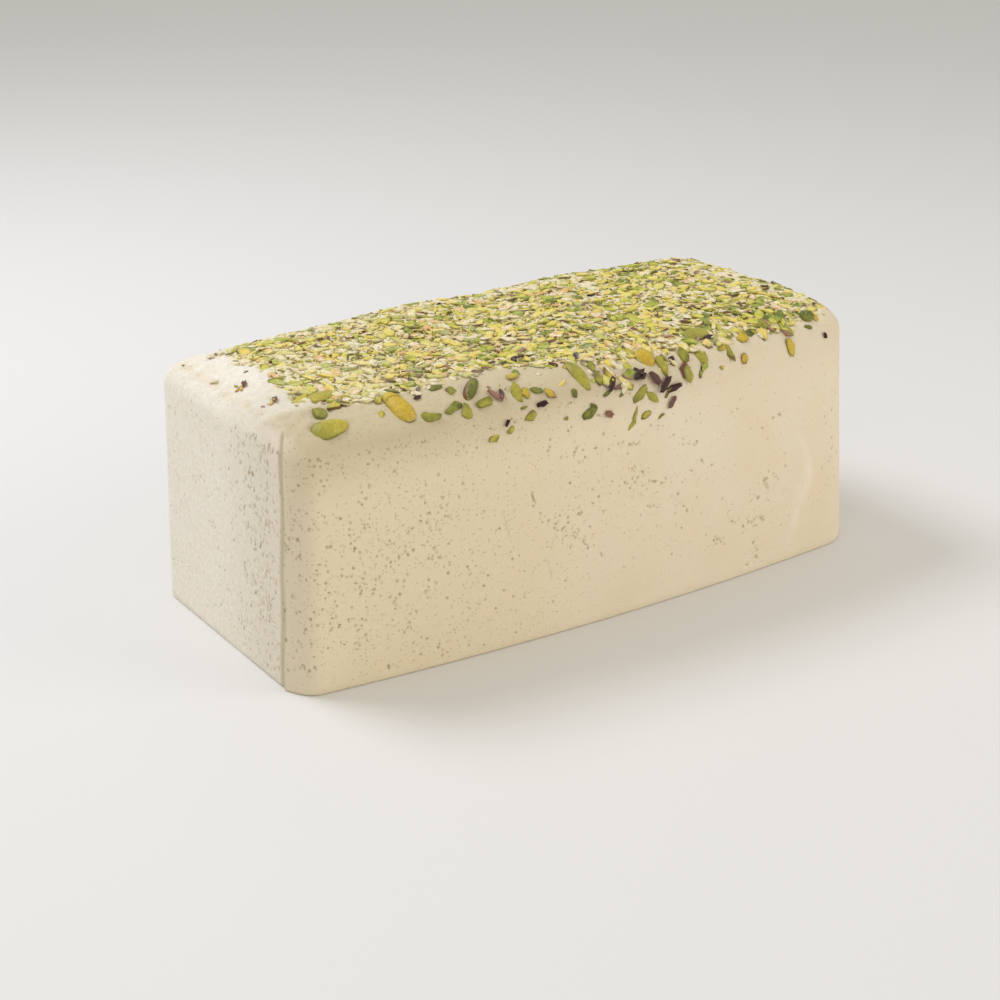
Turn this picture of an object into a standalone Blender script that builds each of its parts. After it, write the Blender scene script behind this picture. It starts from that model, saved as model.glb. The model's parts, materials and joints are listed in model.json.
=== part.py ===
"""A loaf of pistachio halva, turned out of its mould, with pistachios pressed into its top.

Metres, +Z up. The origin is the middle of the base. X runs along the loaf and -Y is its front side.
"""

import math
import random
from typing import NamedTuple

import bmesh
import bpy
from mathutils import Matrix, Vector
from mathutils.bvhtree import BVHTree

# Driving dimensions of the loaf
LENGTH = 0.2803  # at the base, end to end
WIDTH = 0.1157  # at the base, across the ends
HEIGHT = 0.1043  # at the middle of the top, before its crown
SLOPE = 0.017  # the top rises this much per metre towards the right end
CROWN = 0.0014  # how far the top arches between its ends
BOW_AT_BASE = 0.137  # how much wider the middle is than the ends, as a share of the width
BOW_AT_TOP = 0.120
END_RECESS = 0.0006  # the left end stands back this much beside the front corner, in a crease
CREASE_WIDTH = 0.0016
RECESS_REACH = 0.0900  # the recess dies out this far from the crease
RECESS_TOP = 0.0900  # and at this height
BASE_EDGE = 0.0010  # the small bevel round the base


class Side(NamedTuple):
    """How one of the four sides leans in and rounds over to the top."""

    draft: float  # how far the top stands in from the base
    shoulder_width: float  # how far the rounding reaches in over the top
    shoulder_depth: float  # how far the rounding reaches down the side


LEFT = Side(0.0032, 0.0115, 0.0117)
RIGHT = Side(0.0076, 0.0125, 0.0098)
FRONT = Side(0.0009, 0.0220, 0.0130)
BACK = Side(0.0000, 0.0166, 0.0114)

# Radii of the upright edges
FRONT_RIGHT_RADIUS = 0.0200
BACK_RIGHT_RADIUS = 0.0120
BACK_LEFT_RADIUS = 0.0083
FRONT_LEFT_RADIUS = 0.0098

# Faces along the loaf's outline and up its side
LONG_STEPS = 8
END_STEPS = 4
CORNER_STEPS = 4
SIDE_STEPS = 3
SHOULDER_STEPS = 5
LEFT_RUN = 2  # the left end's number among the straight runs, counted from the right end
TOP_RING_SHARES = (0.80, 0.55, 0.28)

# The chopped nuts
CHIP_SPACING = 0.0100  # between chips
CHIP_JITTER = 0.30  # how far a chip strays from its place, as a share of the spacing
CHIP_LENGTH = (0.0052, 0.0112, 0.0072)  # least, most and usual
CHIP_SLENDERNESS = (0.50, 0.80)  # a chip's width as a share of its length
CHIP_RISE = (0.0006, 0.0014)  # how far a chip stands out of the halva
CHIP_ROOT = 0.0013  # how deep a chip goes in
CHIP_CORNERS = (5, 6)
CHIP_TILT = math.radians(6)
CHIP_TOP_SHARE = 0.78  # the outer face as a share of the outline at the halva
SEED = 11

# Where the nuts lie. The left end and the front left corner stay bare.
NUTS_START = -0.1185
NUTS_START_WAVE = 0.0050
NUTS_END = 0.1270
BARE_CORNER_END = -0.0620  # the front shoulder is bare up to here
BARE_CORNER_Y = -0.0360  # at the start of the nuts, and further out by BARE_CORNER_SLOPE after it
BARE_CORNER_SLOPE = 0.28
SHOULDER_INSET = 0.0110  # from here outwards the chips lie in rows down the side
SIDE_ROWS = 3
SIDE_TOP = 0.0065  # the first of those rows lies this far under the top
SPILL_LEVEL = 0.0965  # the nuts run down the long sides to this height
SPILL_DIP = 0.0130  # and this much further at SPILL_PLACE on the front
SPILL_PLACE = 0.0180
SPILL_REACH = 0.0260
STRAY_DROP = 0.0040  # single chips lie up to this far below the rest
STRAY_SHARE = 0.35

# Whole and half kernels
KERNEL_SEGMENTS = 12
KERNEL_RINGS = 9
KERNEL_TAPER = 0.16  # one end is fuller than the other
KERNEL_BEND = 0.10
KERNEL_SUNK_SHARE = 0.20  # how far a kernel's middle lies under the halva, as a share of its thickness
POCKET_GAP = 0.0003
CHIP_CLEARANCE = 0.0010


class Kernel(NamedTuple):
    """One kernel: a point close to where it lies on the loaf, its turn and its size."""

    x: float
    y: float
    z: float
    turn_deg: float  # from along the loaf, anticlockwise seen from outside
    length: float
    width: float
    thickness: float


KERNELS = (
    Kernel(-0.1177, -0.0500, 0.0995, 8, 0.0158, 0.0074, 0.0062),
    Kernel(-0.0885, -0.0475, 0.1015, -86, 0.0185, 0.0082, 0.0068),
    Kernel(-0.1087, -0.0262, 0.1027, 21, 0.0140, 0.0080, 0.0034),
    Kernel(-0.0579, -0.0491, 0.1031, 46, 0.0155, 0.0068, 0.0060),
    Kernel(-0.0136, -0.0559, 0.1019, -84, 0.0152, 0.0066, 0.0054),
    Kernel(0.0199, -0.0544, 0.1023, -78, 0.0104, 0.0084, 0.0062),
    Kernel(0.0506, -0.0486, 0.1055, 12, 0.0135, 0.0090, 0.0040),
)

HALVA_COLOUR = (0.72, 0.60, 0.41)
KERNEL_COLOUR = (0.42, 0.38, 0.05)


def clear_scene():
    """Removes what the scene holds at the start."""
    for obj in list(bpy.data.objects):
        bpy.data.objects.remove(obj)


def material(name, colour, roughness):
    """A plain Principled material."""
    made = bpy.data.materials.new(name)
    made.use_nodes = True
    shader = made.node_tree.nodes["Principled BSDF"]
    shader.inputs["Base Color"].default_value = (*colour, 1)
    shader.inputs["Roughness"].default_value = roughness
    shader.inputs["Metallic"].default_value = 0
    return made


def object_from(bm, name, collection=None):
    """A new object that holds the bmesh."""
    mesh = bpy.data.meshes.new(name)
    bm.to_mesh(mesh)
    bm.free()
    obj = bpy.data.objects.new(name, mesh)
    (collection or bpy.context.scene.collection).objects.link(obj)
    return obj


# The loaf


def outline(x_low, x_high, y_low, y_high, inset):
    """Points of a rectangle with round corners, anticlockwise, each with its outward direction."""
    front_right, back_right = FRONT_RIGHT_RADIUS - inset, BACK_RIGHT_RADIUS - inset
    back_left, front_left = BACK_LEFT_RADIUS - inset, FRONT_LEFT_RADIUS - inset
    corners = (
        (x_high - front_right, y_low + front_right, -90, front_right),
        (x_high - back_right, y_high - back_right, 0, back_right),
        (x_low + back_left, y_high - back_left, 90, back_left),
        (x_low + front_left, y_low + front_left, 180, front_left),
    )
    runs = (END_STEPS, LONG_STEPS, END_STEPS, LONG_STEPS)
    points = []
    for number, (cx, cy, start, radius) in enumerate(corners):
        for step in range(CORNER_STEPS + 1):
            angle = math.radians(start + 90 * step / CORNER_STEPS)
            way = Vector((math.cos(angle), math.sin(angle)))
            points.append((Vector((cx, cy)) + way * radius, way))
        next_x, next_y, next_start, next_radius = corners[(number + 1) % 4]
        way = Vector((math.cos(math.radians(next_start)), math.sin(math.radians(next_start))))
        begin = points[-1][0]
        end = Vector((next_x, next_y)) + way * next_radius
        points += [(begin.lerp(end, step / runs[number]), way) for step in range(1, runs[number])]
        if number == LEFT_RUN:
            # The end face is flat, and meets the front corner in a crease.
            points.append((end + Vector((0, CREASE_WIDTH)), way))
    return points


def shoulder_depth(way):
    """The depth of the rounding where the outline faces this way."""
    along = (RIGHT if way.x > 0 else LEFT).shoulder_depth
    across = (BACK if way.y > 0 else FRONT).shoulder_depth
    return along * way.x**2 + across * way.y**2


def recess(x, y, share):
    """How far the left end stands back here: most at its crease, and nothing at its far and upper edges."""
    crease = -WIDTH / 2 + FRONT.draft * share + FRONT_LEFT_RADIUS + CREASE_WIDTH
    if x > -LENGTH / 2 + LEFT.draft + LEFT.shoulder_width or y < crease - CREASE_WIDTH / 2:
        return 0
    across = max(0.0, 1 - (y - crease) / RECESS_REACH)
    up = max(0.0, min(1.0, (RECESS_TOP - share * HEIGHT) / LEFT.shoulder_depth))
    return END_RECESS * across * up


def settle(point):
    """A point of the regular loaf, moved as the soft halva has settled: bowed sides, arched and sloped top."""
    x, y, z = point
    middle = max(0.0, 1 - (2 * x / LENGTH) ** 2)
    share = z / HEIGHT
    bow = BOW_AT_BASE + (BOW_AT_TOP - BOW_AT_BASE) * share
    lean = 0.0006 * math.sin(x * 31 + 1.0) + 0.0004 * math.sin(x * 67 + z * 40)
    dips = 0.0005 * math.sin(x * 52 + 0.6) * math.cos(y * 70) + 0.0004 * math.sin(x * 95 - y * 60)
    x_settled = x + recess(x, y, share)
    y_settled = y * (1 + bow * middle) + lean * share * (1 if y > 0 else -1)
    z_settled = z * (1 + SLOPE * x / HEIGHT) + share**4 * (CROWN * middle + dips)
    return Vector((x_settled, y_settled, z_settled))


def ring_points(side_share, shoulder_angle=0.0, inset=0.0, top_share=1.0):
    """One ring of the loaf. side_share runs from the base to the shoulder, and then shoulder_angle to the top."""
    inward = 1 - math.cos(shoulder_angle)

    def stand_in(side):
        return inset + side.draft * side_share + side.shoulder_width * inward

    x_low, x_high = -LENGTH / 2 + stand_in(LEFT), LENGTH / 2 - stand_in(RIGHT)
    y_low, y_high = -WIDTH / 2 + stand_in(FRONT), WIDTH / 2 - stand_in(BACK)
    middle = Vector(((x_low + x_high) / 2, (y_low + y_high) / 2))
    # Inner rings of the top shrink by the same distance all round, not by the same share.
    x_share = 1 - (y_high - y_low) * (1 - top_share) / (x_high - x_low)
    points = []
    for point, way in outline(x_low, x_high, y_low, y_high, inset):
        depth = shoulder_depth(way)
        height = (HEIGHT - depth) * side_share + depth * math.sin(shoulder_angle)
        from_middle = point - middle
        points.append(Vector((middle.x + from_middle.x * x_share, middle.y + from_middle.y * top_share, height)))
    return points


def loaf_rings():
    """All rings of the loaf, from the base to the innermost one of the top."""
    rings = [ring_points(0, inset=BASE_EDGE)]
    rings.append([point + Vector((0, 0, BASE_EDGE)) for point in ring_points(0)])
    rings += [ring_points(step / SIDE_STEPS) for step in range(1, SIDE_STEPS + 1)]
    rings += [ring_points(1, math.pi / 2 * step / SHOULDER_STEPS) for step in range(1, SHOULDER_STEPS + 1)]
    rings += [ring_points(1, math.pi / 2, top_share=share) for share in TOP_RING_SHARES]
    return rings


def bare_loaf():
    """The loaf before the nuts go in, as one closed mesh."""
    bm = bmesh.new()
    rings = [[bm.verts.new(settle(point)) for point in ring] for ring in loaf_rings()]
    bm.faces.new(reversed(rings[0]))
    for lower, upper in zip(rings, rings[1:]):
        count = len(lower)
        for i in range(count):
            j = (i + 1) % count
            bm.faces.new((lower[i], lower[j], upper[j], upper[i]))
    bm.faces.new(rings[-1])
    bmesh.ops.triangulate(bm, faces=bm.faces[:])
    bmesh.ops.recalc_face_normals(bm, faces=bm.faces[:])
    return object_from(bm, "halva_loaf")


# The nuts


def seat(surface, near, turn, tilt=(0, 0)):
    """Stands a frame on the surface point nearest to near: Z outwards, X turned from the loaf's length."""
    place, normal, _, _ = surface.find_nearest(near)
    along = Vector((1, 0, 0))
    along = (along - normal * along.dot(normal)).normalized()
    across = normal.cross(along)
    frame = Matrix((along, across, normal)).transposed().to_4x4()
    lean = Matrix.Rotation(tilt[0], 4, "X") @ Matrix.Rotation(tilt[1], 4, "Y")
    return Matrix.Translation(place) @ frame @ Matrix.Rotation(turn, 4, "Z") @ lean


def chip(rng, place, collection, number):
    """A chopped nut: an uneven, flat piece with bevelled sides, rooted in the halva."""
    length = rng.triangular(*CHIP_LENGTH)
    width = length * rng.uniform(*CHIP_SLENDERNESS)
    rise = rng.uniform(*CHIP_RISE)
    corners = rng.randint(*CHIP_CORNERS)
    bm = bmesh.new()
    low, high = [], []
    for corner in range(corners):
        angle = 2 * math.pi * (corner + rng.uniform(-0.25, 0.25)) / corners
        radius = rng.uniform(0.84, 1.08) / 2
        x, y = length * radius * math.cos(angle), width * radius * math.sin(angle)
        low.append(bm.verts.new((x, y, -CHIP_ROOT)))
        high.append(bm.verts.new((x * CHIP_TOP_SHARE, y * CHIP_TOP_SHARE, rise)))
    bm.faces.new(reversed(low))
    bm.faces.new(high)
    for i in range(corners):
        j = (i + 1) % corners
        bm.faces.new((low[i], low[j], high[j], high[i]))
    bm.transform(place)
    return object_from(bm, f"chip_{number}", collection)


def half_width_at(x):
    """Half the loaf's width at the top, at this x."""
    return WIDTH / 2 * (1 + BOW_AT_TOP * (1 - (2 * x / LENGTH) ** 2))


def is_bare(x, y):
    """Whether this place of the top has no nuts."""
    starts = NUTS_START + NUTS_START_WAVE * math.sin(y * 95 + 0.9)
    corner_y = BARE_CORNER_Y - BARE_CORNER_SLOPE * (x - NUTS_START)
    return not starts < x < NUTS_END or (x < BARE_CORNER_END and y < corner_y)


def spill_height(x, front):
    """How low the nuts reach down the front or back side at this x."""
    dip = SPILL_DIP * math.exp(-(((x - SPILL_PLACE) / SPILL_REACH) ** 2)) if front else 0
    return SPILL_LEVEL + SLOPE * x - dip


def chip_targets(rng):
    """Points near the surface where the chips lie: rows over the top, then rows down both long sides."""
    row_step = CHIP_SPACING * math.sqrt(3) / 2
    jitter = CHIP_SPACING * CHIP_JITTER
    first_x = NUTS_START - NUTS_START_WAVE
    columns = int((NUTS_END - first_x) / CHIP_SPACING) + 1
    rows = int(2 * half_width_at(0) / row_step)
    for row in range(rows):
        for column in range(columns):
            x = first_x + (column + 0.5 * (row % 2)) * CHIP_SPACING + rng.uniform(-jitter, jitter)
            y = (row - (rows - 1) / 2) * row_step + rng.uniform(-jitter, jitter)
            if not is_bare(x, y) and abs(y) < half_width_at(x) - SHOULDER_INSET:
                yield Vector((x, y, HEIGHT + SLOPE * x))
    for side in (-1, 1):
        for row in range(SIDE_ROWS):
            for column in range(columns):
                x = first_x + (column + 0.5 * (row % 2)) * CHIP_SPACING + rng.uniform(-jitter, jitter)
                y = side * half_width_at(x)
                z = HEIGHT + SLOPE * x - SIDE_TOP - row * row_step + rng.uniform(-jitter, jitter)
                below = spill_height(x, side < 0) - z
                strays = below < STRAY_DROP and rng.random() < STRAY_SHARE
                if not is_bare(x, y) and (below < 0 or strays):
                    yield Vector((x, y, z))


def kernel_bmesh(kernel, grow=0.0):
    """A pistachio kernel along X: long, fuller towards one end, and a little bent."""
    bm = bmesh.new()
    bmesh.ops.create_uvsphere(bm, u_segments=KERNEL_SEGMENTS, v_segments=KERNEL_RINGS, radius=1)
    for vert in bm.verts:
        # The sphere's poles go to the kernel's two tips.
        along, across, up = vert.co.z, vert.co.x, vert.co.y
        girth = 1 - KERNEL_TAPER * along
        sunk = KERNEL_BEND * kernel.thickness * along**2
        vert.co = Vector(
            (
                along * (kernel.length / 2 + grow),
                across * (girth * kernel.width / 2 + grow),
                up * (girth * kernel.thickness / 2 + grow) - sunk,
            )
        )
    return bm


def kernel_seat(surface, kernel):
    """Where a kernel lies, with part of it under the halva."""
    seated = seat(surface, Vector((kernel.x, kernel.y, kernel.z)), math.radians(kernel.turn_deg))
    return seated @ Matrix.Translation((0, 0, -KERNEL_SUNK_SHARE * kernel.thickness))


def clear_of_kernels(target, seats):
    """Whether a chip at target keeps clear of every kernel."""
    chip_reach = CHIP_LENGTH[1] * 0.54 + CHIP_CLEARANCE
    for kernel, seated in zip(KERNELS, seats):
        local = seated.inverted() @ target
        beyond = max(0.0, abs(local.x) - kernel.length / 2)
        if math.hypot(beyond, local.y) < kernel.width / 2 + chip_reach:
            return False
    return True


def join_chips(loaf, surface, seats):
    """Fuses the chips to the loaf with one Boolean union."""
    rng = random.Random(SEED)
    chips = bpy.data.collections.new("chips")
    bpy.context.scene.collection.children.link(chips)
    targets = [target for target in chip_targets(rng) if clear_of_kernels(target, seats)]
    for number, target in enumerate(targets):
        tilt = (rng.gauss(0, CHIP_TILT), rng.gauss(0, CHIP_TILT))
        chip(rng, seat(surface, target, rng.uniform(0, math.pi), tilt), chips, number)
    union = loaf.modifiers.new("chips", "BOOLEAN")
    union.operation = "UNION"
    union.operand_type = "COLLECTION"
    union.collection = chips
    union.solver = "EXACT"
    apply_modifiers(loaf)
    for obj in list(chips.objects):
        bpy.data.objects.remove(obj)
    bpy.data.collections.remove(chips)


def cut_pockets(loaf, seats):
    """Cuts the hollow that each kernel sits in."""
    for kernel, seated in zip(KERNELS, seats):
        bm = kernel_bmesh(kernel, grow=POCKET_GAP)
        bm.transform(seated)
        cutter = object_from(bm, "pocket")
        cut = loaf.modifiers.new("pocket", "BOOLEAN")
        cut.operation = "DIFFERENCE"
        cut.object = cutter
        cut.solver = "EXACT"
        apply_modifiers(loaf)
        bpy.data.objects.remove(cutter)


def apply_modifiers(obj):
    """Turns the object's modifiers into its mesh."""
    graph = bpy.context.evaluated_depsgraph_get()
    mesh = bpy.data.meshes.new_from_object(obj.evaluated_get(graph))
    obj.modifiers.clear()
    obj.data = mesh


def main():
    """Builds the loaf and its kernels."""
    clear_scene()
    halva = material("halva", HALVA_COLOUR, 0.85)
    pistachio = material("pistachio", KERNEL_COLOUR, 0.55)
    loaf = bare_loaf()
    bm = bmesh.new()
    bm.from_mesh(loaf.data)
    surface = BVHTree.FromBMesh(bm)
    bm.free()
    seats = [kernel_seat(surface, kernel) for kernel in KERNELS]
    join_chips(loaf, surface, seats)
    cut_pockets(loaf, seats)
    loaf.data.materials.clear()
    loaf.data.materials.append(halva)
    loaf.data.set_sharp_from_angle(angle=math.radians(30))
    for number, (kernel, seated) in enumerate(zip(KERNELS, seats), 1):
        nut = object_from(kernel_bmesh(kernel), f"kernel_{number}")
        nut.matrix_world = seated
        nut.data.shade_smooth()
        nut.data.materials.append(pistachio)


main()
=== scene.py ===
"""The looks of a pistachio halva loaf: pressed halva full of small air holes, chopped pistachios
pressed into its top, and seven whole or half kernels. Metres, +Z up, in the frame of the solids."""

import json
import logging
import math
import random
from collections.abc import Callable, Iterable
from dataclasses import dataclass, field
from enum import Enum
from typing import Any

import bmesh
import bpy
import numpy as np
from bmesh.types import BMesh, BMVert
from bpy.types import Collection, Material, Mesh, Node, NodeSocket, NodeTree, Object
from mathutils import Euler, Matrix, Vector, noise
from mathutils.bvhtree import BVHTree
from mathutils.geometry import delaunay_2d_cdt
from mathutils.kdtree import KDTree

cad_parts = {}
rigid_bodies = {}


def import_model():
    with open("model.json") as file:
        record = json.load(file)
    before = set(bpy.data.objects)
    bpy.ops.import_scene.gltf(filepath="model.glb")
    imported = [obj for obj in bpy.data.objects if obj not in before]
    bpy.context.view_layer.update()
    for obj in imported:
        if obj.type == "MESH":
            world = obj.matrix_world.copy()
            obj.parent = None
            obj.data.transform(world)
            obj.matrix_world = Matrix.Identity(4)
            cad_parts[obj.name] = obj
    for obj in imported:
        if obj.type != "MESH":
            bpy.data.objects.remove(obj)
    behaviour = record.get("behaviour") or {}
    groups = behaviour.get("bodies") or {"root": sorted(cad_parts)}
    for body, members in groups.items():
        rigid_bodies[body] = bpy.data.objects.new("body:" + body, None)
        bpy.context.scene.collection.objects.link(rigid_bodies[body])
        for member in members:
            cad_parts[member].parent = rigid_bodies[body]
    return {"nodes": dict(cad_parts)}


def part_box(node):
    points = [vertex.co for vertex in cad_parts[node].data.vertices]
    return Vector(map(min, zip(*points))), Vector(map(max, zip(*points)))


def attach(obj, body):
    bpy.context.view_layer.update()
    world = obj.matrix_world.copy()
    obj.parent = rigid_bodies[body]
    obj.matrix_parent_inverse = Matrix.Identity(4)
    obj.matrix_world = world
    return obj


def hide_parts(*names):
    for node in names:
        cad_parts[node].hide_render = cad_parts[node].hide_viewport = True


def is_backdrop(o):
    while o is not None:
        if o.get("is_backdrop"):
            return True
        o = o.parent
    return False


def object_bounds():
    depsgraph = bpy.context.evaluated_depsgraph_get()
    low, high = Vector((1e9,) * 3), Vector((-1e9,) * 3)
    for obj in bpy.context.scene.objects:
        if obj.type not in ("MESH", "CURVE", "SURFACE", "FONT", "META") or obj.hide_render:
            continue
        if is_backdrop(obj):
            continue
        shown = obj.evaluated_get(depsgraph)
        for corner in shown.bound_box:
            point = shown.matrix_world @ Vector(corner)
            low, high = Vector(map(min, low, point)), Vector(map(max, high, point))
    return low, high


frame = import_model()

LOG = logging.getLogger("halva")
MM = 0.001

Array = np.ndarray
Pair = tuple[float, float]
Size = tuple[float, float, float]
Ramp = tuple[tuple[float, str], ...]  # a place from 0 to 1 and an sRGB colour for each stop


# Helpers


def linear(colour: str) -> tuple[float, float, float, float]:
    """Turns an sRGB hex colour to a linear one.

    Args:
        colour: The colour, such as "#E8DCC8".

    Returns:
        Red, green, blue and alpha.
    """
    parts = [int(colour[i : i + 2], 16) / 255 for i in (1, 3, 5)]
    red, green, blue = (p / 12.92 if p <= 0.04045 else ((p + 0.055) / 1.055) ** 2.4 for p in parts)
    return red, green, blue, 1.0


def fill_inputs(tree: NodeTree, node: Node, inputs: dict[str | int, Any]) -> None:
    """Gives each named input of a node a value or a link.

    Args:
        tree: The tree that the node is in.
        node: The node.
        inputs: A value, or another node's output, for each input by its name or number.
    """
    for name, value in inputs.items():
        if isinstance(value, NodeSocket):
            tree.links.new(value, node.inputs[name])
        else:
            node.inputs[name].default_value = value


def add_node(
    tree: NodeTree, kind: str, inputs: dict[str | int, Any] | None = None, **settings: Any
) -> Node:
    """Adds a node with its settings, values and links.

    Args:
        tree: The tree that the node goes in.
        kind: The node's type.
        inputs: A value, or another node's output, for each input by its name or number.
        settings: The node's own properties.

    Returns:
        The new node.
    """
    node = tree.nodes.new(kind)
    for name, value in settings.items():
        setattr(node, name, value)
    fill_inputs(tree, node, inputs or {})
    return node


def start_material(name: str) -> tuple[Material, NodeTree, Node]:
    """Starts a material.

    Args:
        name: Its name.

    Returns:
        The material, its node tree and its Principled BSDF.
    """
    made = bpy.data.materials.new(name)
    made.use_nodes = True
    return made, made.node_tree, made.node_tree.nodes["Principled BSDF"]


def lay_over(
    tree: NodeTree,
    colour: NodeSocket | tuple[float, ...],
    values: dict[str, NodeSocket],
    layers: Iterable[tuple[str, float, float, float, str | NodeSocket]],
) -> NodeSocket:
    """Lays tints over a colour, one after another.

    Args:
        tree: The material's tree.
        colour: The colour to start from.
        values: Each value's output by its name.
        layers: For each tint, the value it follows, where it starts and where it is full, how much it
            covers there, and the tint itself.

    Returns:
        The colour with its tints.
    """
    for name, low, high, most, tint in layers:
        ends = {"Value": values[name], "From Min": low, "From Max": high, "To Max": most}
        share = add_node(tree, "ShaderNodeMapRange", ends).outputs["Result"]
        layer = {0: share, 6: colour, 7: linear(tint) if isinstance(tint, str) else tint}
        colour = add_node(tree, "ShaderNodeMix", layer, data_type="RGBA").outputs[2]
    return colour


def fill_ramp(node: Node, stops: Ramp) -> NodeSocket:
    """Gives a colour ramp its stops.

    Args:
        node: The ramp.
        stops: The stops, in order.

    Returns:
        The ramp's colour output.
    """
    elements = node.color_ramp.elements
    while len(elements) > 1:
        elements.remove(elements[-1])
    for number, (place, colour) in enumerate(stops):
        element = elements[0] if number == 0 else elements.new(place)
        element.position = place
        element.color = linear(colour)
    return node.outputs["Color"]


def smooth_step(low: float, high: float, value: Array) -> Array:
    """A smooth rise from 0 at low to 1 at high."""
    share = np.clip((value - low) / (high - low), 0, 1)
    return share * share * (3 - 2 * share)


def lumps(points: Array, size: float, seed: float) -> Array:
    """Smooth random lumps.

    Args:
        points: Places in metres, one a row.
        size: The lumps' size in metres.
        seed: Moves the pattern.

    Returns:
        A value from about -1 to 1 for each place.
    """
    offset = Vector((seed * 7.3, seed * 3.1, seed * 5.7))
    return np.array([noise.noise(Vector(p) / size + offset) for p in points])


def vectors_of(mesh: Mesh, kind: str = "co") -> Array:
    """Reads a vector of each of a mesh's points.

    Args:
        mesh: The mesh.
        kind: "co" for the places, or "normal".

    Returns:
        The vectors, one a row.
    """
    values = np.empty(len(mesh.vertices) * 3)
    mesh.vertices.foreach_get(kind, values)
    return values.reshape(-1, 3)


def tree_of(points: Array | list[Vector]) -> KDTree:
    """Sorts points so that those near a place are found fast.

    Args:
        points: The points.

    Returns:
        A tree that holds each by its number.
    """
    tree = KDTree(len(points))
    for number, point in enumerate(points):
        tree.insert(point, number)
    tree.balance()
    return tree


def finish_mesh(bm: BMesh, name: str) -> Mesh:
    """Turns a bmesh to a mesh, and frees it.

    Args:
        bm: The bmesh.
        name: The mesh's name.

    Returns:
        The mesh.
    """
    mesh = bpy.data.meshes.new(name)
    bm.to_mesh(mesh)
    bm.free()
    return mesh


def move_points(mesh: Mesh, points: Array) -> None:
    """Moves a mesh's points to new places."""
    mesh.vertices.foreach_set("co", points.ravel())
    mesh.update()


def add_attributes(mesh: Mesh, values: dict[str, Array]) -> None:
    """Stores numbers for each point on the mesh, by name, for its material or for the scattering."""
    for name, numbers in values.items():
        attribute = mesh.attributes.new(name, "FLOAT", "POINT")
        attribute.data.foreach_set("value", np.asarray(numbers, np.float32))


def new_piece(name: str, mesh: Mesh) -> Object:
    """Puts a mesh in the scene as an object at the origin.

    Args:
        name: The object's name.
        mesh: The mesh.

    Returns:
        The object.
    """
    obj = bpy.data.objects.new(name, mesh)
    bpy.context.scene.collection.objects.link(obj)
    return obj


def dress(obj: Object, finish: Material) -> None:
    """Makes finish the object's only material."""
    obj.data.materials.clear()
    obj.data.materials.append(finish)


def settle_in(obj: Object, slot: str, *nodes: str) -> None:
    """Rides a finished piece on the loaf's body, hides the solids it stands for, and logs its triangle count.

    Args:
        obj: The piece.
        slot: The record's material slot; not used.
        nodes: The solids that it replaces.
    """
    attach(obj, "root")
    if nodes:
        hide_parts(*nodes)
    obj.data.calc_loop_triangles()
    LOG.info("%s: %d triangles", obj.name, len(obj.data.loop_triangles))


# Finishes


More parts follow.
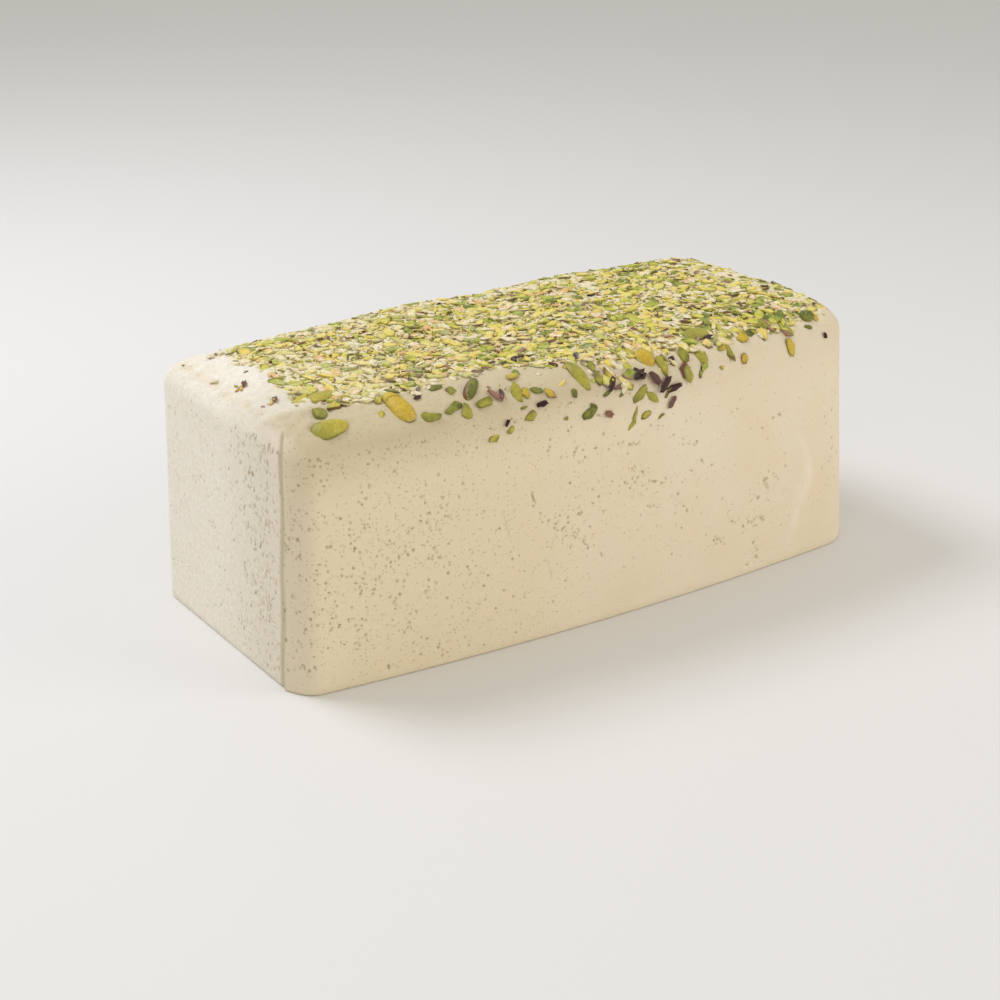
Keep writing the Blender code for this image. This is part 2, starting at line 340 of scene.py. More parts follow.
@dataclass(frozen=True)
class HalvaFinish:
    """Tahini halva: ground sesame and beaten sugar, pressed warm in a mould. Metres and sRGB.

    Its moulded sides have a dull yellowish rind full of pinholes. Where it is cut or crumbled it is
    paler, drier and fibrous, and among the nuts their dust stains it. Shade is painted in its air
    holes, its crease, by its front left corner, on its front shoulder and in the gaps between the nuts.
    """

    rind: str = "#E3D6BD"
    rind_warm: str = "#DFCFB0"
    rosy: str = "#E4CCAE"
    sandy: str = "#DECFAE"  # the rind where it is full of pinholes
    inside: str = "#EBE4D6"
    inside_warm: str = "#E2D9C7"
    painted_corner_grey: str = "#D0C5AE"  # painted shade, grey, on the cut side towards the crease and on the top above that corner
    oily: str = "#C0B18F"  # painted shade on the front shoulder beside the nuts
    # painted shade in the air holes and pinholes
    painted_hole_shade: str = "#8A764C"
    rubbed: str = "#EDE4D4"
    # dark tool marks, and painted shade in the crease
    bruise_and_crease_shade: str = "#9C8E64"
    # the nuts' dust, whose darkest browns are painted shade in the gaps between the nuts
    dust_and_gap_shade: Ramp = (
        (0.31, "#745C30"), (0.38, "#A8985A"), (0.45, "#D2C690"), (0.53, "#E5DBB6"),
        (0.61, "#E6D8B6"), (0.68, "#D4B898"), (0.76, "#987858"),
    )
    cloud_size: float = 40 * MM
    blotch_size: float = 11 * MM
    smear_size: float = 1.5 * MM  # the knife's smears on a cut side
    streak: float = 0.85  # how little of their height they keep across the knife's way
    dust_size: float = 2.4 * MM
    crumb_size: float = 1.7 * MM
    grain_size: float = 0.9 * MM  # tahini grain is finer, and this is as coarse as it needs to show
    speck_size: float = 1.5 * MM
    roughness: float = 0.72
    specular: float = 0.30
    crumb_relief: float = 3.5  # how much higher a crumb stands than the grain
    relief: float = 0.45
    relief_height: float = 0.25 * MM
    glow: float = 0.12  # how much light goes on under the surface
    glow_reach: Size = (1.0, 0.62, 0.36)  # red's, green's and blue's, times glow_size
    glow_size: float = 2.5 * MM

    def material(self) -> Material:
        """Builds the material.

        Returns:
            A material that reads the attributes hole, mark, moulded, pitted, dusted and crumbly, and two more
            that place painted shade: by the front left corner, and on the front shoulder.
        """
        made, tree, shader = start_material("pressed_tahini_halva")
        place = add_node(tree, "ShaderNodeTexCoord").outputs["Object"]
        upright = add_node(
            tree, "ShaderNodeMapping", {"Vector": place, "Scale": (1.0, 1.0, self.streak)}
        ).outputs["Vector"]
        value = {}
        for name, where, size, detail in (
            ("clouds", place, self.cloud_size, 3.0),
            ("blotches", place, self.blotch_size, 4.0),
            ("smears", upright, self.smear_size, 3.0),
            ("dust", place, self.dust_size, 3.0),
            ("crumbs", place, self.crumb_size, 3.0),
            ("grain", place, self.grain_size, 2.0),
        ):
            sizes = {"Vector": where, "Scale": 1 / size, "Detail": detail}
            value[name] = add_node(tree, "ShaderNodeTexNoise", sizes).outputs["Fac"]
        for name in ("hole", "mark", "moulded", "pitted", "greyed", "oily", "dusted", "crumbly"):
            value[name] = add_node(tree, "ShaderNodeAttribute", attribute_name=name).outputs["Fac"]
        value["pinholes"] = self._pinholes(tree, place, value["pitted"])
        smeared = add_node(
            tree, "ShaderNodeMapRange", {"Value": value["smears"], "From Min": 0.36, "From Max": 0.66}
        ).outputs["Result"]
        insides = {0: smeared, 6: linear(self.inside), 7: linear(self.inside_warm)}
        fresh = add_node(tree, "ShaderNodeMix", insides, data_type="RGBA").outputs[2]
        dust_and_shade = fill_ramp(add_node(tree, "ShaderNodeValToRGB", {"Fac": value["dust"]}), self.dust_and_gap_shade)
        layers = (
            ("clouds", 0.35, 0.68, 0.7, self.rind_warm),
            ("blotches", 0.54, 0.80, 0.4, self.rosy),
            ("pitted", 0.15, 0.75, 0.8, self.sandy),
            ("moulded", 1.0, 0.0, 1.0, fresh),
            # Painted shade, grey, on the cut end by the crease and on the top's front left corner.
            ("greyed", 0.0, 1.0, 0.55, self.painted_corner_grey),
            # Painted shade on the front shoulder beside the nuts.
            ("oily", 0.0, 1.0, 0.80, self.oily),
            # The nuts' dust between them, with painted shade in the gaps.
            ("dusted", 0.0, 1.0, 1.0, dust_and_shade),
            # Painted shade in the pinholes and the air holes.
            ("pinholes", 0.0, 1.0, 0.42, self.painted_hole_shade),
            ("hole", 0.0, 1.0, 0.70, self.painted_hole_shade),
            ("mark", 0.0, 1.0, 1.0, self.rubbed),
            # Dark tool marks, and the crease's painted shade.
            ("mark", 0.0, -1.0, 1.0, self.bruise_and_crease_shade),
        )
        colour = lay_over(tree, linear(self.rind), value, layers)
        # Crumbs stand out of the grain, and the pinholes sink into it.
        height = value["crumbs"]
        for operation, terms in (
            ("MULTIPLY", {1: value["crumbly"]}),
            ("MULTIPLY_ADD", {1: self.crumb_relief, 2: value["grain"]}),
            ("SUBTRACT", {1: value["pinholes"]}),
        ):
            terms[0] = height
            height = add_node(tree, "ShaderNodeMath", terms, operation=operation).outputs["Value"]
        bumps = {"Height": height, "Strength": self.relief, "Distance": self.relief_height}
        looks = {
            "Base Color": colour,
            "Normal": add_node(tree, "ShaderNodeBump", bumps).outputs["Normal"],
            "Roughness": self.roughness,
            "Specular IOR Level": self.specular,
            "Subsurface Weight": self.glow,
            "Subsurface Radius": self.glow_reach,
            "Subsurface Scale": self.glow_size,
        }
        fill_inputs(tree, shader, looks)
        return made

    def _pinholes(self, tree: NodeTree, place: NodeSocket, pitted: NodeSocket) -> NodeSocket:
        """Pinholes too fine for the mesh: dots, painted with shade and sunk into the bump, in some of the
        cells, and in more where it is pitted.

        Args:
            tree: The material's tree.
            place: The place on the halva.
            pitted: The share of the cells that have a pinhole.

        Returns:
            A value from 0, plain, to 1, the middle of a pinhole.
        """
        cells = add_node(tree, "ShaderNodeTexVoronoi", {"Vector": place, "Scale": 1 / self.speck_size})
        draw = add_node(tree, "ShaderNodeSeparateColor", {"Color": cells.outputs["Color"]}).outputs
        chosen = {0: draw["Red"], 1: pitted}
        taken = add_node(tree, "ShaderNodeMath", chosen, operation="LESS_THAN").outputs["Value"]
        # A dot's edge and the flat of its middle, as shares of a cell
        sizes = {"Value": draw["Green"], "To Min": 0.18, "To Max": 0.38}
        reach = add_node(tree, "ShaderNodeMapRange", sizes).outputs["Result"]
        rises = {"Value": cells.outputs["Distance"], "From Min": reach, "From Max": 0.04}
        dot = add_node(tree, "ShaderNodeMapRange", rises).outputs["Result"]
        return add_node(tree, "ShaderNodeMath", {0: taken, 1: dot}, operation="MULTIPLY").outputs["Value"]


@dataclass(frozen=True)
class NutFinish:
    """Raw peeled pistachio, chopped: waxy flesh, yellow in the middle and green under its thin skin.

    Reads the attributes tone, which picks the flesh, skin, which picks the skin, and rim, which is 0
    on cut flesh and 1 on skin.
    """

    flesh: Ramp = (
        (0.00, "#6C7A2C"), (0.09, "#98A23C"), (0.22, "#C2C04C"), (0.38, "#DCCC5C"), (0.54, "#E7D67C"),
        (0.66, "#E8CB5A"), (0.76, "#E9D38E"), (0.85, "#EBE0BE"), (0.94, "#EACEAA"), (0.985, "#E0B070"),
    )
    skins: Ramp = (
        (0.00, "#6E7230"), (0.26, "#84803A"), (0.42, "#765A30"), (0.58, "#6A442E"),
        (0.70, "#885A48"), (0.80, "#A47A6A"), (0.90, "#422B28"),
    )
    under_skin: str = "#9C9A40"
    mottle_size: float = 2.6 * MM
    mottle: float = 0.50  # how far the flesh strays along its colours within a piece
    drift_size: float = 17 * MM
    drift: float = 0.35  # and how far from one batch of pieces to the next
    grain_size: float = 0.7 * MM
    dust: str = "#E4DAB6"
    dust_patch: float = 12 * MM
    dust_fade: float = -1.1  # how much more dust for each metre along the loaf
    paling: float = -0.5  # and how much paler the flesh
    dusted: float = 0.30  # the most that the halva's dust hides
    ragged: float = 0.35  # how far the skin's edge strays
    shade: Pair = (0.78, 1.15)  # of the grain's lows and highs
    relief: float = 0.40
    relief_height: float = 0.2 * MM
    roughness: float = 0.50
    specular: float = 0.30
    name: str = "raw_chopped_pistachio"

    def material(self) -> Material:
        """Builds the material.

        Returns:
            The material.
        """
        made, tree, shader = start_material(self.name)
        place = add_node(tree, "ShaderNodeTexCoord").outputs["Object"]
        value = {}
        for name, size in (
            ("mottle", self.mottle_size),
            ("drift", self.drift_size),
            ("grain", self.grain_size),
            ("dusting", self.dust_patch),
        ):
            sizes = {"Vector": place, "Scale": 1 / size, "Detail": 3.0}
            value[name] = add_node(tree, "ShaderNodeTexNoise", sizes).outputs["Fac"]
        for name in ("tone", "skin", "rim"):
            value[name] = add_node(tree, "ShaderNodeAttribute", attribute_name=name).outputs["Fac"]
        value["along"] = add_node(tree, "ShaderNodeSeparateXYZ", {"Vector": place}).outputs["X"]
        less = {0: value["tone"], 1: (self.mottle + self.drift) / 2}
        value["middling"] = add_node(tree, "ShaderNodeMath", less, operation="SUBTRACT").outputs["Value"]
        # The mottle goes from green to yellow within a piece, and the grain makes the skin's edge ragged.
        for name, first, times, plus in (
            ("batch", "drift", self.drift, "middling"),
            ("flesh", "mottle", self.mottle, "batch"),
            ("flesh", "along", self.paling, "flesh"),
            ("ragged", "grain", self.ragged, "rim"),
            ("dusting", "along", self.dust_fade, "dusting"),
        ):
            terms = {0: value[first], 1: times, 2: value[plus]}
            value[name] = add_node(tree, "ShaderNodeMath", terms, operation="MULTIPLY_ADD").outputs["Value"]
        colour = fill_ramp(add_node(tree, "ShaderNodeValToRGB", {"Fac": value["flesh"]}), self.flesh)
        skins = fill_ramp(add_node(tree, "ShaderNodeValToRGB", {"Fac": value["skin"]}), self.skins)
        layers = (
            ("ragged", 0.30, 0.90, 0.6, self.under_skin),
            ("ragged", 0.90, 1.14, 1.0, skins),
            ("dusting", 0.50, 0.68, self.dusted, self.dust),
        )
        colour = lay_over(tree, colour, value, layers)
        darkest, lightest = self.shade
        ends = {"From Min": 0.28, "From Max": 0.72, "To Min": darkest, "To Max": lightest}
        shade = add_node(tree, "ShaderNodeMapRange", {"Value": value["grain"], **ends}).outputs["Result"]
        shaded = add_node(tree, "ShaderNodeVectorMath", {0: colour, 1: shade}, operation="MULTIPLY")
        bumps = {"Height": value["grain"], "Strength": self.relief, "Distance": self.relief_height}
        looks = {
            "Base Color": shaded.outputs["Vector"],
            "Normal": add_node(tree, "ShaderNodeBump", bumps).outputs["Normal"],
            "Roughness": self.roughness,
            "Specular IOR Level": self.specular,
        }
        fill_inputs(tree, shader, looks)
        return made


# Larger pieces show the nut's deeper green and gold.
WHOLE_FLESH: Ramp = (
    (0.00, "#56592A"), (0.10, "#737430"), (0.22, "#939038"), (0.38, "#AFA440"), (0.55, "#C6B446"),
    (0.68, "#CBAF3A"), (0.80, "#C2A230"), (0.90, "#D6BE7C"), (0.985, "#D29A5C"),
)


@dataclass(frozen=True)
class FloorFinish:
    """Pale matt studio paper."""

    colour: str = "#DEDCD8"
    roughness: float = 0.85

    def material(self) -> Material:
        """Builds the material.

        Returns:
            The material.
        """
        made, tree, shader = start_material("studio_paper")
        fill_inputs(tree, shader, {"Base Color": linear(self.colour), "Roughness": self.roughness})
        return made


# The loaf's form


@dataclass(frozen=True)
class Side:
    """How one side leans in and rounds over to the top, in metres."""

    draft: float  # how far the top stands in from the base
    shoulder_width: float  # how far the rounding reaches in over the top
    shoulder_depth: float  # how far it reaches down the side


class Wall(Enum):
    """The four walls, each by the number of its stretch round the outline."""

    RIGHT = 1
    BACK = 3
    LEFT = 5
    FRONT = 7


@dataclass
class LoafForm:
    """The loaf's form, as in its solid: leaning sides, a round shoulder, bowed and sloped as it settled."""

    length: float
    width: float = 0.1157
    height: float = 0.1043
    slope: float = 0.017
    crown: float = 0.0014
    bow_at_base: float = 0.137
    bow_at_top: float = 0.120
    base_edge: float = 0.0010
    recess_depth: float = 0.0006
    recess_reach: float = 0.0900
    recess_top: float = 0.0900
    crease_width: float = 0.0016
    crease_start: float = 0.0020  # how far behind the front corner's edge it starts, at the base
    crease_lean: float = 0.0014  # and how far it leans forwards up to the top
    left: Side = Side(0.0032, 0.0115, 0.0117)
    right: Side = Side(0.0076, 0.0125, 0.0098)
    front: Side = Side(0.0009, 0.0220, 0.0130)
    back: Side = Side(0.0000, 0.0166, 0.0114)
    # Upright edges: front right, back right, back left, front left
    radii: tuple[float, float, float, float] = (0.0200, 0.0120, 0.0083, 0.0098)
    cut_back: float = 0.80  # how sharply the front left edge starts at the crease
    sway: Pair = (0.0006, 0.0004)  # how far the long sides wave, in long and in short waves
    dips: Pair = (0.0005, 0.0004)  # and how far the top does
    calm: float = 25 * MM  # the waves start this far from the middle line
    along_reach: Pair = (-0.95, 1.95)  # how far round its corners a wall's air holes may lie
    rise_reach: Pair = (0.03, 1.15)  # and how low and high

    def bounds(self, share: Array, inward: Array, inset: Array) -> tuple[Array, ...]:
        """The rectangle that the outline fits at a height.

        Args:
            share: How far up the wall, from 0 to 1.
            inward: How far over the shoulder, from 0 to 1.
            inset: How far the base's edge stands in.

        Returns:
            Lowest and highest X, then lowest and highest Y.
        """
        half_length, half_width = self.length / 2, self.width / 2

        def stand_in(side: Side) -> Array:
            """How far the outline stands in from the base's on one side."""
            return inset + side.draft * share + side.shoulder_width * inward

        return (
            stand_in(self.left) - half_length,
            half_length - stand_in(self.right),
            stand_in(self.front) - half_width,
            half_width - stand_in(self.back),
        )

    def wall(self, places: Array) -> Array:
        """Points of the walls before they settled.

        Args:
            places: For each point, the stretch round the outline, where 8 is the whole way, and the
                rise: -1 to 0 is the base's edge, 0 to 1 the wall, and 1 to 2 the shoulder.

        Returns:
            The points.
        """
        stretch, rise = places[:, 0] % 8, places[:, 1]
        share = np.clip(rise, 0, 1)
        turn = np.clip(rise - 1, 0, 1) * math.pi / 2
        under = np.clip(-rise, 0, 1) * math.pi / 2
        inset = self.base_edge * (1 - np.cos(under))
        x_low, x_high, y_low, y_high = self.bounds(share, 1 - np.cos(turn), inset)
        radii = [radius - inset for radius in self.radii]
        centre_x = np.stack([x_high - radii[0], x_high - radii[1], x_low + radii[2], x_low + radii[3]])
        centre_y = np.stack([y_low + radii[0], y_high - radii[1], y_high - radii[2], y_low + radii[3]])
        number = np.floor(stretch).astype(int)
        along = stretch - number
        corner, on_arc = number // 2, number % 2 == 0
        after = (corner + 1) % 4
        angle = np.radians(corner * 90 - 90 + 90 * np.where(on_arc, along, 1))
        way = np.stack([np.cos(angle), np.sin(angle)])
        each = np.arange(len(stretch))
        radius = np.stack(radii)
        past_crease = np.where((corner == 3) & on_arc, along, 0)
        radius[3] *= 1 - self.cut_back * past_crease * (1 - past_crease) ** 2

        def edge_point(which: Array) -> Array:
            """The points of these corners' arcs."""
            centre = np.stack([centre_x[which, each], centre_y[which, each]])
            return centre + way * radius[which, each]

        begin, end = edge_point(corner), edge_point(after)
        flat = begin + (end - begin) * np.where(on_arc, 0, along)
        ends = np.where(way[0] > 0, self.right.shoulder_depth, self.left.shoulder_depth)
        sides = np.where(way[1] > 0, self.back.shoulder_depth, self.front.shoulder_depth)
        depth = ends * way[0] ** 2 + sides * way[1] ** 2
        z = self.base_edge * (1 - np.sin(under)) + (self.height - depth - self.base_edge) * share
        return np.column_stack([flat[0], flat[1], z + depth * np.sin(turn)])

    def crease(self, share: Array) -> Array:
        """The crease's Y on the left end, at a share of the height."""
        return self.radii[3] + self.crease_start - self.width / 2 - self.crease_lean * share

    def recess(self, x: Array, y: Array, share: Array) -> Array:
        """How far the left end stands back beside the front corner, in a crease.

        Args:
            x: The points' X.
            y: Their Y.
            share: Their share of the height.

        Returns:
            How far each moves in.
        """
        crease = self.crease(share)
        on_end = x < -self.length / 2 + self.left.draft + self.left.shoulder_width
        across = np.clip(1 - (y - crease) / self.recess_reach, 0, 1)
        up = np.clip((self.recess_top - share * self.height) / self.left.shoulder_depth, 0, 1)
        starts = smooth_step(-self.crease_width, 0, y - crease)
        return np.where(on_end, self.recess_depth * across * up * starts, 0)

    def settle(self, points: Array) -> Array:
        """Moves points as the soft halva has settled: bowed sides, arched and sloped top.

        Args:
            points: Points of the regular loaf.

        Returns:
            The moved points.
        """
        x, y, z = points.T
        middle = np.clip(1 - (2 * x / self.length) ** 2, 0, None)
        share = z / self.height
        bow = self.bow_at_base + (self.bow_at_top - self.bow_at_base) * share
        # The waves' phases are in radians, and rise by so many for each metre.
        sway = self.sway[0] * np.sin(x * 31 + 1.0) + self.sway[1] * np.sin(x * 67 + z * 40)
        dips = self.dips[0] * np.sin(x * 52 + 0.6) * np.cos(y * 70) + self.dips[1] * np.sin(x * 95 - y * 60)
        moved_y = y * (1 + bow * middle) + sway * share * np.clip(y / self.calm, -1, 1)
        moved_z = z * (1 + self.slope * x / self.height) + share**4 * (self.crown * middle + dips)
        return np.column_stack([x + self.recess(x, y, share), moved_y, moved_z])

    def place_on(self, wall: Wall, across: float, height: float) -> Pair | None:
        """Finds a place on a wall, or on the upright edges beside it.

        Args:
            wall: The wall.
            across: X on the front and back, Y on the ends.
            height: The height.

        Returns:
            The stretch and the rise, or None where it lies off the wall.
        """
        half = self.length / 2 if wall in (Wall.FRONT, Wall.BACK) else self.width / 2
        way = 1 if wall in (Wall.FRONT, Wall.RIGHT) else -1
        corner = (wall.value - 1) // 2
        before, after = self.radii[corner], self.radii[(corner + 1) % 4]
        along = half + across * way - before
        run = 2 * half - before - after
        rise = height / (self.height - self.front.shoulder_depth)
        if along < 0:
            along = along / (before * math.pi / 2)
        elif along > run:
            along = 1 + (along - run) / (after * math.pi / 2)
        else:
            along /= run
        least, most = zip(self.along_reach, self.rise_reach)
        if not (least[0] < along < most[0] and least[1] < rise < most[1]):
            return None
        return wall.value + along, rise

    def on_wall(self, places: Array) -> Array:
        """Settled points of the walls."""
        return self.settle(self.wall(places))

    def on_top(self, places: Array) -> Array:
        """Settled points of the top, from their X and Y."""
        return self.settle(np.column_stack([places, np.full(len(places), self.height)]))

    def drop(self, points: Array) -> Array:
        """How far each settled point lies under the top at its X."""
        return self.height + self.slope * points[:, 0] - points[:, 2]


@dataclass
class Patch:
    """A stretch of surface as triangles in two coordinates of its own, which lift turns to points."""

    places: Array
    triangles: Array
    lift: Callable[[Array], Array]

    def points(self) -> Array:
        """The patch's points in space."""
        return self.lift(self.places)

    def refine(self, wanted: Callable[[Array], Array]) -> bool:
        """Halves each edge that is longer than the wanted size there, but none on the patch's rim.

        Args:
            wanted: Gives the wanted edge length at each of some points.

        Returns:
            Whether any edge was halved.
        """
        points = self.points()
        corners = self.triangles[:, [[0, 1], [1, 2], [2, 0]]]
        edges, index, used = np.unique(
            np.sort(corners, axis=2).reshape(-1, 2), axis=0, return_inverse=True, return_counts=True
        )
        index = index.reshape(-1, 3)
        ends = points[edges]
        longer = np.linalg.norm(ends[:, 0] - ends[:, 1], axis=1) > wanted(ends.mean(axis=1)) * 1.4
        halved = longer & (used == 2)
        middle = np.full(len(edges), -1)
        middle[halved] = len(self.places) + np.arange(halved.sum())
        self.places = np.vstack([self.places, self.places[edges[halved]].mean(axis=1)])
        mids = middle[index]
        count = (mids >= 0).sum(axis=1)
        # Each triangle is turned so that a lone halved edge comes first, and a lone whole edge last.
        lone = np.where(count == 1, np.argmax(mids >= 0, axis=1), (np.argmin(mids >= 0, axis=1) + 1) % 3)
        turn = (np.where((count == 1) | (count == 2), lone, 0)[:, None] + np.arange(3)) % 3
        a, b, c = np.take_along_axis(self.triangles, turn, axis=1).T
        ab, bc, ca = np.take_along_axis(mids, turn, axis=1).T
        one, two, three = count == 1, count == 2, count == 3
        self.triangles = np.vstack(
            [
                self.triangles[count == 0],
                np.column_stack([a, ab, c])[one],
                np.column_stack([ab, b, c])[one],
                np.column_stack([ab, b, bc])[two],
                np.column_stack([a, ab, bc])[two],
                np.column_stack([a, bc, c])[two],
                np.column_stack([a, ab, ca])[three],
                np.column_stack([ab, b, bc])[three],
                np.column_stack([ca, bc, c])[three],
                np.column_stack([ab, bc, ca])[three],
            ]
        )
        return bool(halved.any())


@dataclass
class LoafSurface:
    """The loaf's surface as patches: the walls with their shoulder, and the flat of the top."""

    form: LoafForm
    face_size: float = 2.3 * MM
    wall_steps: int = 34
    shoulder_steps: int = 13
    top_face_size: float = 1.6 * MM
    seam: float = 3.5  # in the middle of the back wall

    def patches(self) -> list[Patch]:
        """Builds the patches.

        Returns:
            The walls, then the top.
        """
        stretches = self._stretches()
        up_wall = np.linspace(0, 1, self.wall_steps, endpoint=False)
        rises = np.concatenate([[-1, -0.5], up_wall, np.linspace(1, 2, self.shoulder_steps + 1)])
        return [self._wall_patch(stretches, rises), self._top_patch(stretches)]

    def _stretches(self) -> Array:
        """Places round the outline, about face_size apart, from seam to seam.

        Returns:
            The places, where 8 is the whole way round.
        """
        steps = []
        for number in range(8):
            ends = self.form.on_wall(np.array([[number, 0.5], [number + 0.999, 0.5]]))
            run = np.linalg.norm(ends[1] - ends[0])
            count = max(8, round(run / self.face_size))
            steps.append(number + np.arange(count) / count)
        round_once = np.concatenate(steps)
        round_once = np.unique(np.append(round_once, self.seam))
        after = round_once[round_once >= self.seam]
        before = round_once[round_once < self.seam] + 8
        return np.concatenate([after, before, [self.seam + 8]])

    def _wall_patch(self, stretches: Array, rises: Array) -> Patch:
        """The walls as a grid of triangles.

        Args:
            stretches: Places round the outline.
            rises: Places up the wall and over the shoulder.

        Returns:
            The patch.
        """
        columns, rows = len(stretches), len(rises)
        places = np.array([(stretch, rise) for rise in rises for stretch in stretches])
        row, column = np.meshgrid(np.arange(rows - 1), np.arange(columns - 1), indexing="ij")
        low = (row * columns + column).ravel()
        right, up, far = low + 1, low + columns, low + columns + 1
        even = ((row + column) % 2 == 0).ravel()[:, None]
        first = np.where(even, np.column_stack([low, right, far]), np.column_stack([low, right, up]))
        second = np.where(even, np.column_stack([low, far, up]), np.column_stack([right, far, up]))
        return Patch(places, np.vstack([first, second]), self.form.on_wall)

    def _top_patch(self, stretches: Array) -> Patch:
        """The top's flat part: a grid of points inside the shoulder's last ring, joined up.

        Args:
            stretches: Places round the outline.

        Returns:
            The patch.
        """
        ring_places = np.column_stack([stretches[:-1], np.full(len(stretches) - 1, 2.0)])
        ring = self.form.wall(ring_places)[:, :2]
        one, none = np.ones(1), np.zeros(1)
        bounds = [float(bound[0]) for bound in self.form.bounds(one, one, none)]
        x_low, x_high, y_low, y_high = bounds
        step = self.top_face_size
        columns = np.arange(x_low + step, x_high - step / 2, step)
        rows = np.arange(y_low + step, y_high - step / 2, step * math.sqrt(3) / 2)
        x, y = np.meshgrid(columns, rows)
        x = x + np.where(np.arange(len(rows)) % 2, step / 2, 0)[:, None]
        inner = np.column_stack([x.ravel(), y.ravel()])
        inner = inner[self._inside(inner, bounds, step * 0.6)]
        points = [Vector(p) for p in np.vstack([ring, inner])]
        flat, _, faces, *_ = delaunay_2d_cdt(points, [], [list(range(len(ring)))], 1, 1e-9)
        return Patch(np.array(flat), np.array(faces), self.form.on_top)

    def _inside(self, points: Array, bounds: list[float], gap: float) -> Array:
        """Which points lie inside the rounded rectangle, clear of its edge.

        Args:
            points: The points' X and Y.
            bounds: The rectangle's lowest and highest X, then lowest and highest Y.
            gap: How far they stay clear.

        Returns:
            True or False for each point.
        """
        x, y = points.T
        x_low, x_high, y_low, y_high = bounds
        inside = (x > x_low + gap) & (x < x_high - gap) & (y > y_low + gap) & (y < y_high - gap)
        for radius, (x_way, y_way) in zip(self.form.radii, ((1, -1), (1, 1), (-1, 1), (-1, -1))):
            beyond_x = (x - (x_high if x_way > 0 else x_low)) * x_way + radius
            beyond_y = (y - (y_high if y_way > 0 else y_low)) * y_way + radius
            in_corner = (beyond_x > 0) & (beyond_y > 0)
            inside &= ~in_corner | (np.hypot(beyond_x, beyond_y) < radius - gap)
        return inside

    def mesh(self, name: str, patches: list[Patch]) -> Mesh:
        """Joins the patches and a flat base to one closed mesh.

        Args:
            name: The mesh's name.
            patches: The patches, the walls first.

        Returns:
            The mesh, with its normals outwards.
        """
        bm = bmesh.new()
        for patch in patches:
            verts = [bm.verts.new(point) for point in patch.points()]
            for a, b, c in patch.triangles:
                bm.faces.new((verts[a], verts[b], verts[c]))
        bmesh.ops.remove_doubles(bm, verts=bm.verts[:], dist=1e-6)
        rim = [edge for edge in bm.edges if edge.is_boundary]
        bmesh.ops.holes_fill(bm, edges=rim, sides=0)
        base = [face for face in bm.faces if len(face.verts) > 4]
        bmesh.ops.triangulate(bm, faces=base)
        bmesh.ops.recalc_face_normals(bm, faces=bm.faces[:])
        mesh = finish_mesh(bm, name)
        mesh.shade_smooth()
        return mesh


# The halva's surface


@dataclass(frozen=True)
class HoleCluster:
    """A cloud of air holes on one wall. Lengths are in millimetres."""

    wall: Wall
    across: float  # X of its middle on the front and back, Y on the ends
    height: float
    spread_across: float
    spread_up: float
    count: int
    radius: Pair = (0.22, 0.58)
    stretch: Pair = (0.80, 1.30)  # how much taller than wide


@dataclass(frozen=True)
class HoleRow:
    """Air holes along a fold of the front, from X and Z of its ends. Lengths are in millimetres."""

    start: Pair
    end: Pair
    count: int
    scatter: float = 1.0
    radius: Pair = (0.26, 0.60)
    stretch: Pair = (0.8, 1.4)  # how much taller than wide


@dataclass(frozen=True)
class Hole:
    """One air hole: its place, the directions across and up it, its half width and height."""

    place: Vector
    across: Vector
    upward: Vector
    half_width: float
    half_height: float
    dark: float  # its painted shade, from 0, as pale as the halva, to 1

    def reach(self, point: Vector) -> float:
        """How far out a point lies.

        Args:
            point: The point.

        Returns:
            0 in the hole's middle, and 1 at its edge.
        """
        offset = point - self.place
        beside, above = offset.dot(self.across), offset.dot(self.upward)
        return math.hypot(beside / self.half_width, above / self.half_height)


@dataclass(frozen=True)
class ToolMark:
    """A curved mark that a tool or the mould left on the front, from X and Z of three points.

    Lengths are in millimetres.
    """

    start: Pair
    middle: Pair
    end: Pair
    width: float
    depth: float
    tint: float  # from -1, dark, to 1, rubbed pale

    def line(self, steps: int = 40) -> Array:
        """Points along the mark.

        Args:
            steps: How many.

        Returns:
            Their X and Z in metres.
        """
        share = np.linspace(0, 1, steps)[:, None]
        start, middle, end = (np.array(p) * MM for p in (self.start, self.middle, self.end))
        bend = 2 * middle - (start + end) / 2
        return (1 - share) ** 2 * start + 2 * share * (1 - share) * bend + share**2 * end


# Clouds of air holes, each as in HoleCluster
CLUSTERS = (
    (Wall.LEFT, -30, 50, 10, 30, 420, (0.24, 0.56), (1.3, 3.0)),
    (Wall.LEFT, 2, 50, 40, 36, 340, (0.20, 0.44), (1.0, 2.4)),
    (Wall.FRONT, -110, 50, 22, 32, 640),
    (Wall.FRONT, -70, 30, 40, 24, 200),
    (Wall.FRONT, -20, 64, 42, 22, 230),
    (Wall.FRONT, 0, 45, 90, 36, 300, (0.20, 0.50)),
    (Wall.FRONT, 89, 42, 4, 9, 20, (0.26, 0.60)),
    (Wall.FRONT, 124, 55, 3, 26, 16, (0.28, 0.56), (1.2, 2.2)),
    (Wall.RIGHT, 0, 45, 35, 32, 240),
    (Wall.BACK, 70, 42, 45, 26, 240),
    (Wall.BACK, -50, 50, 50, 30, 280),
)
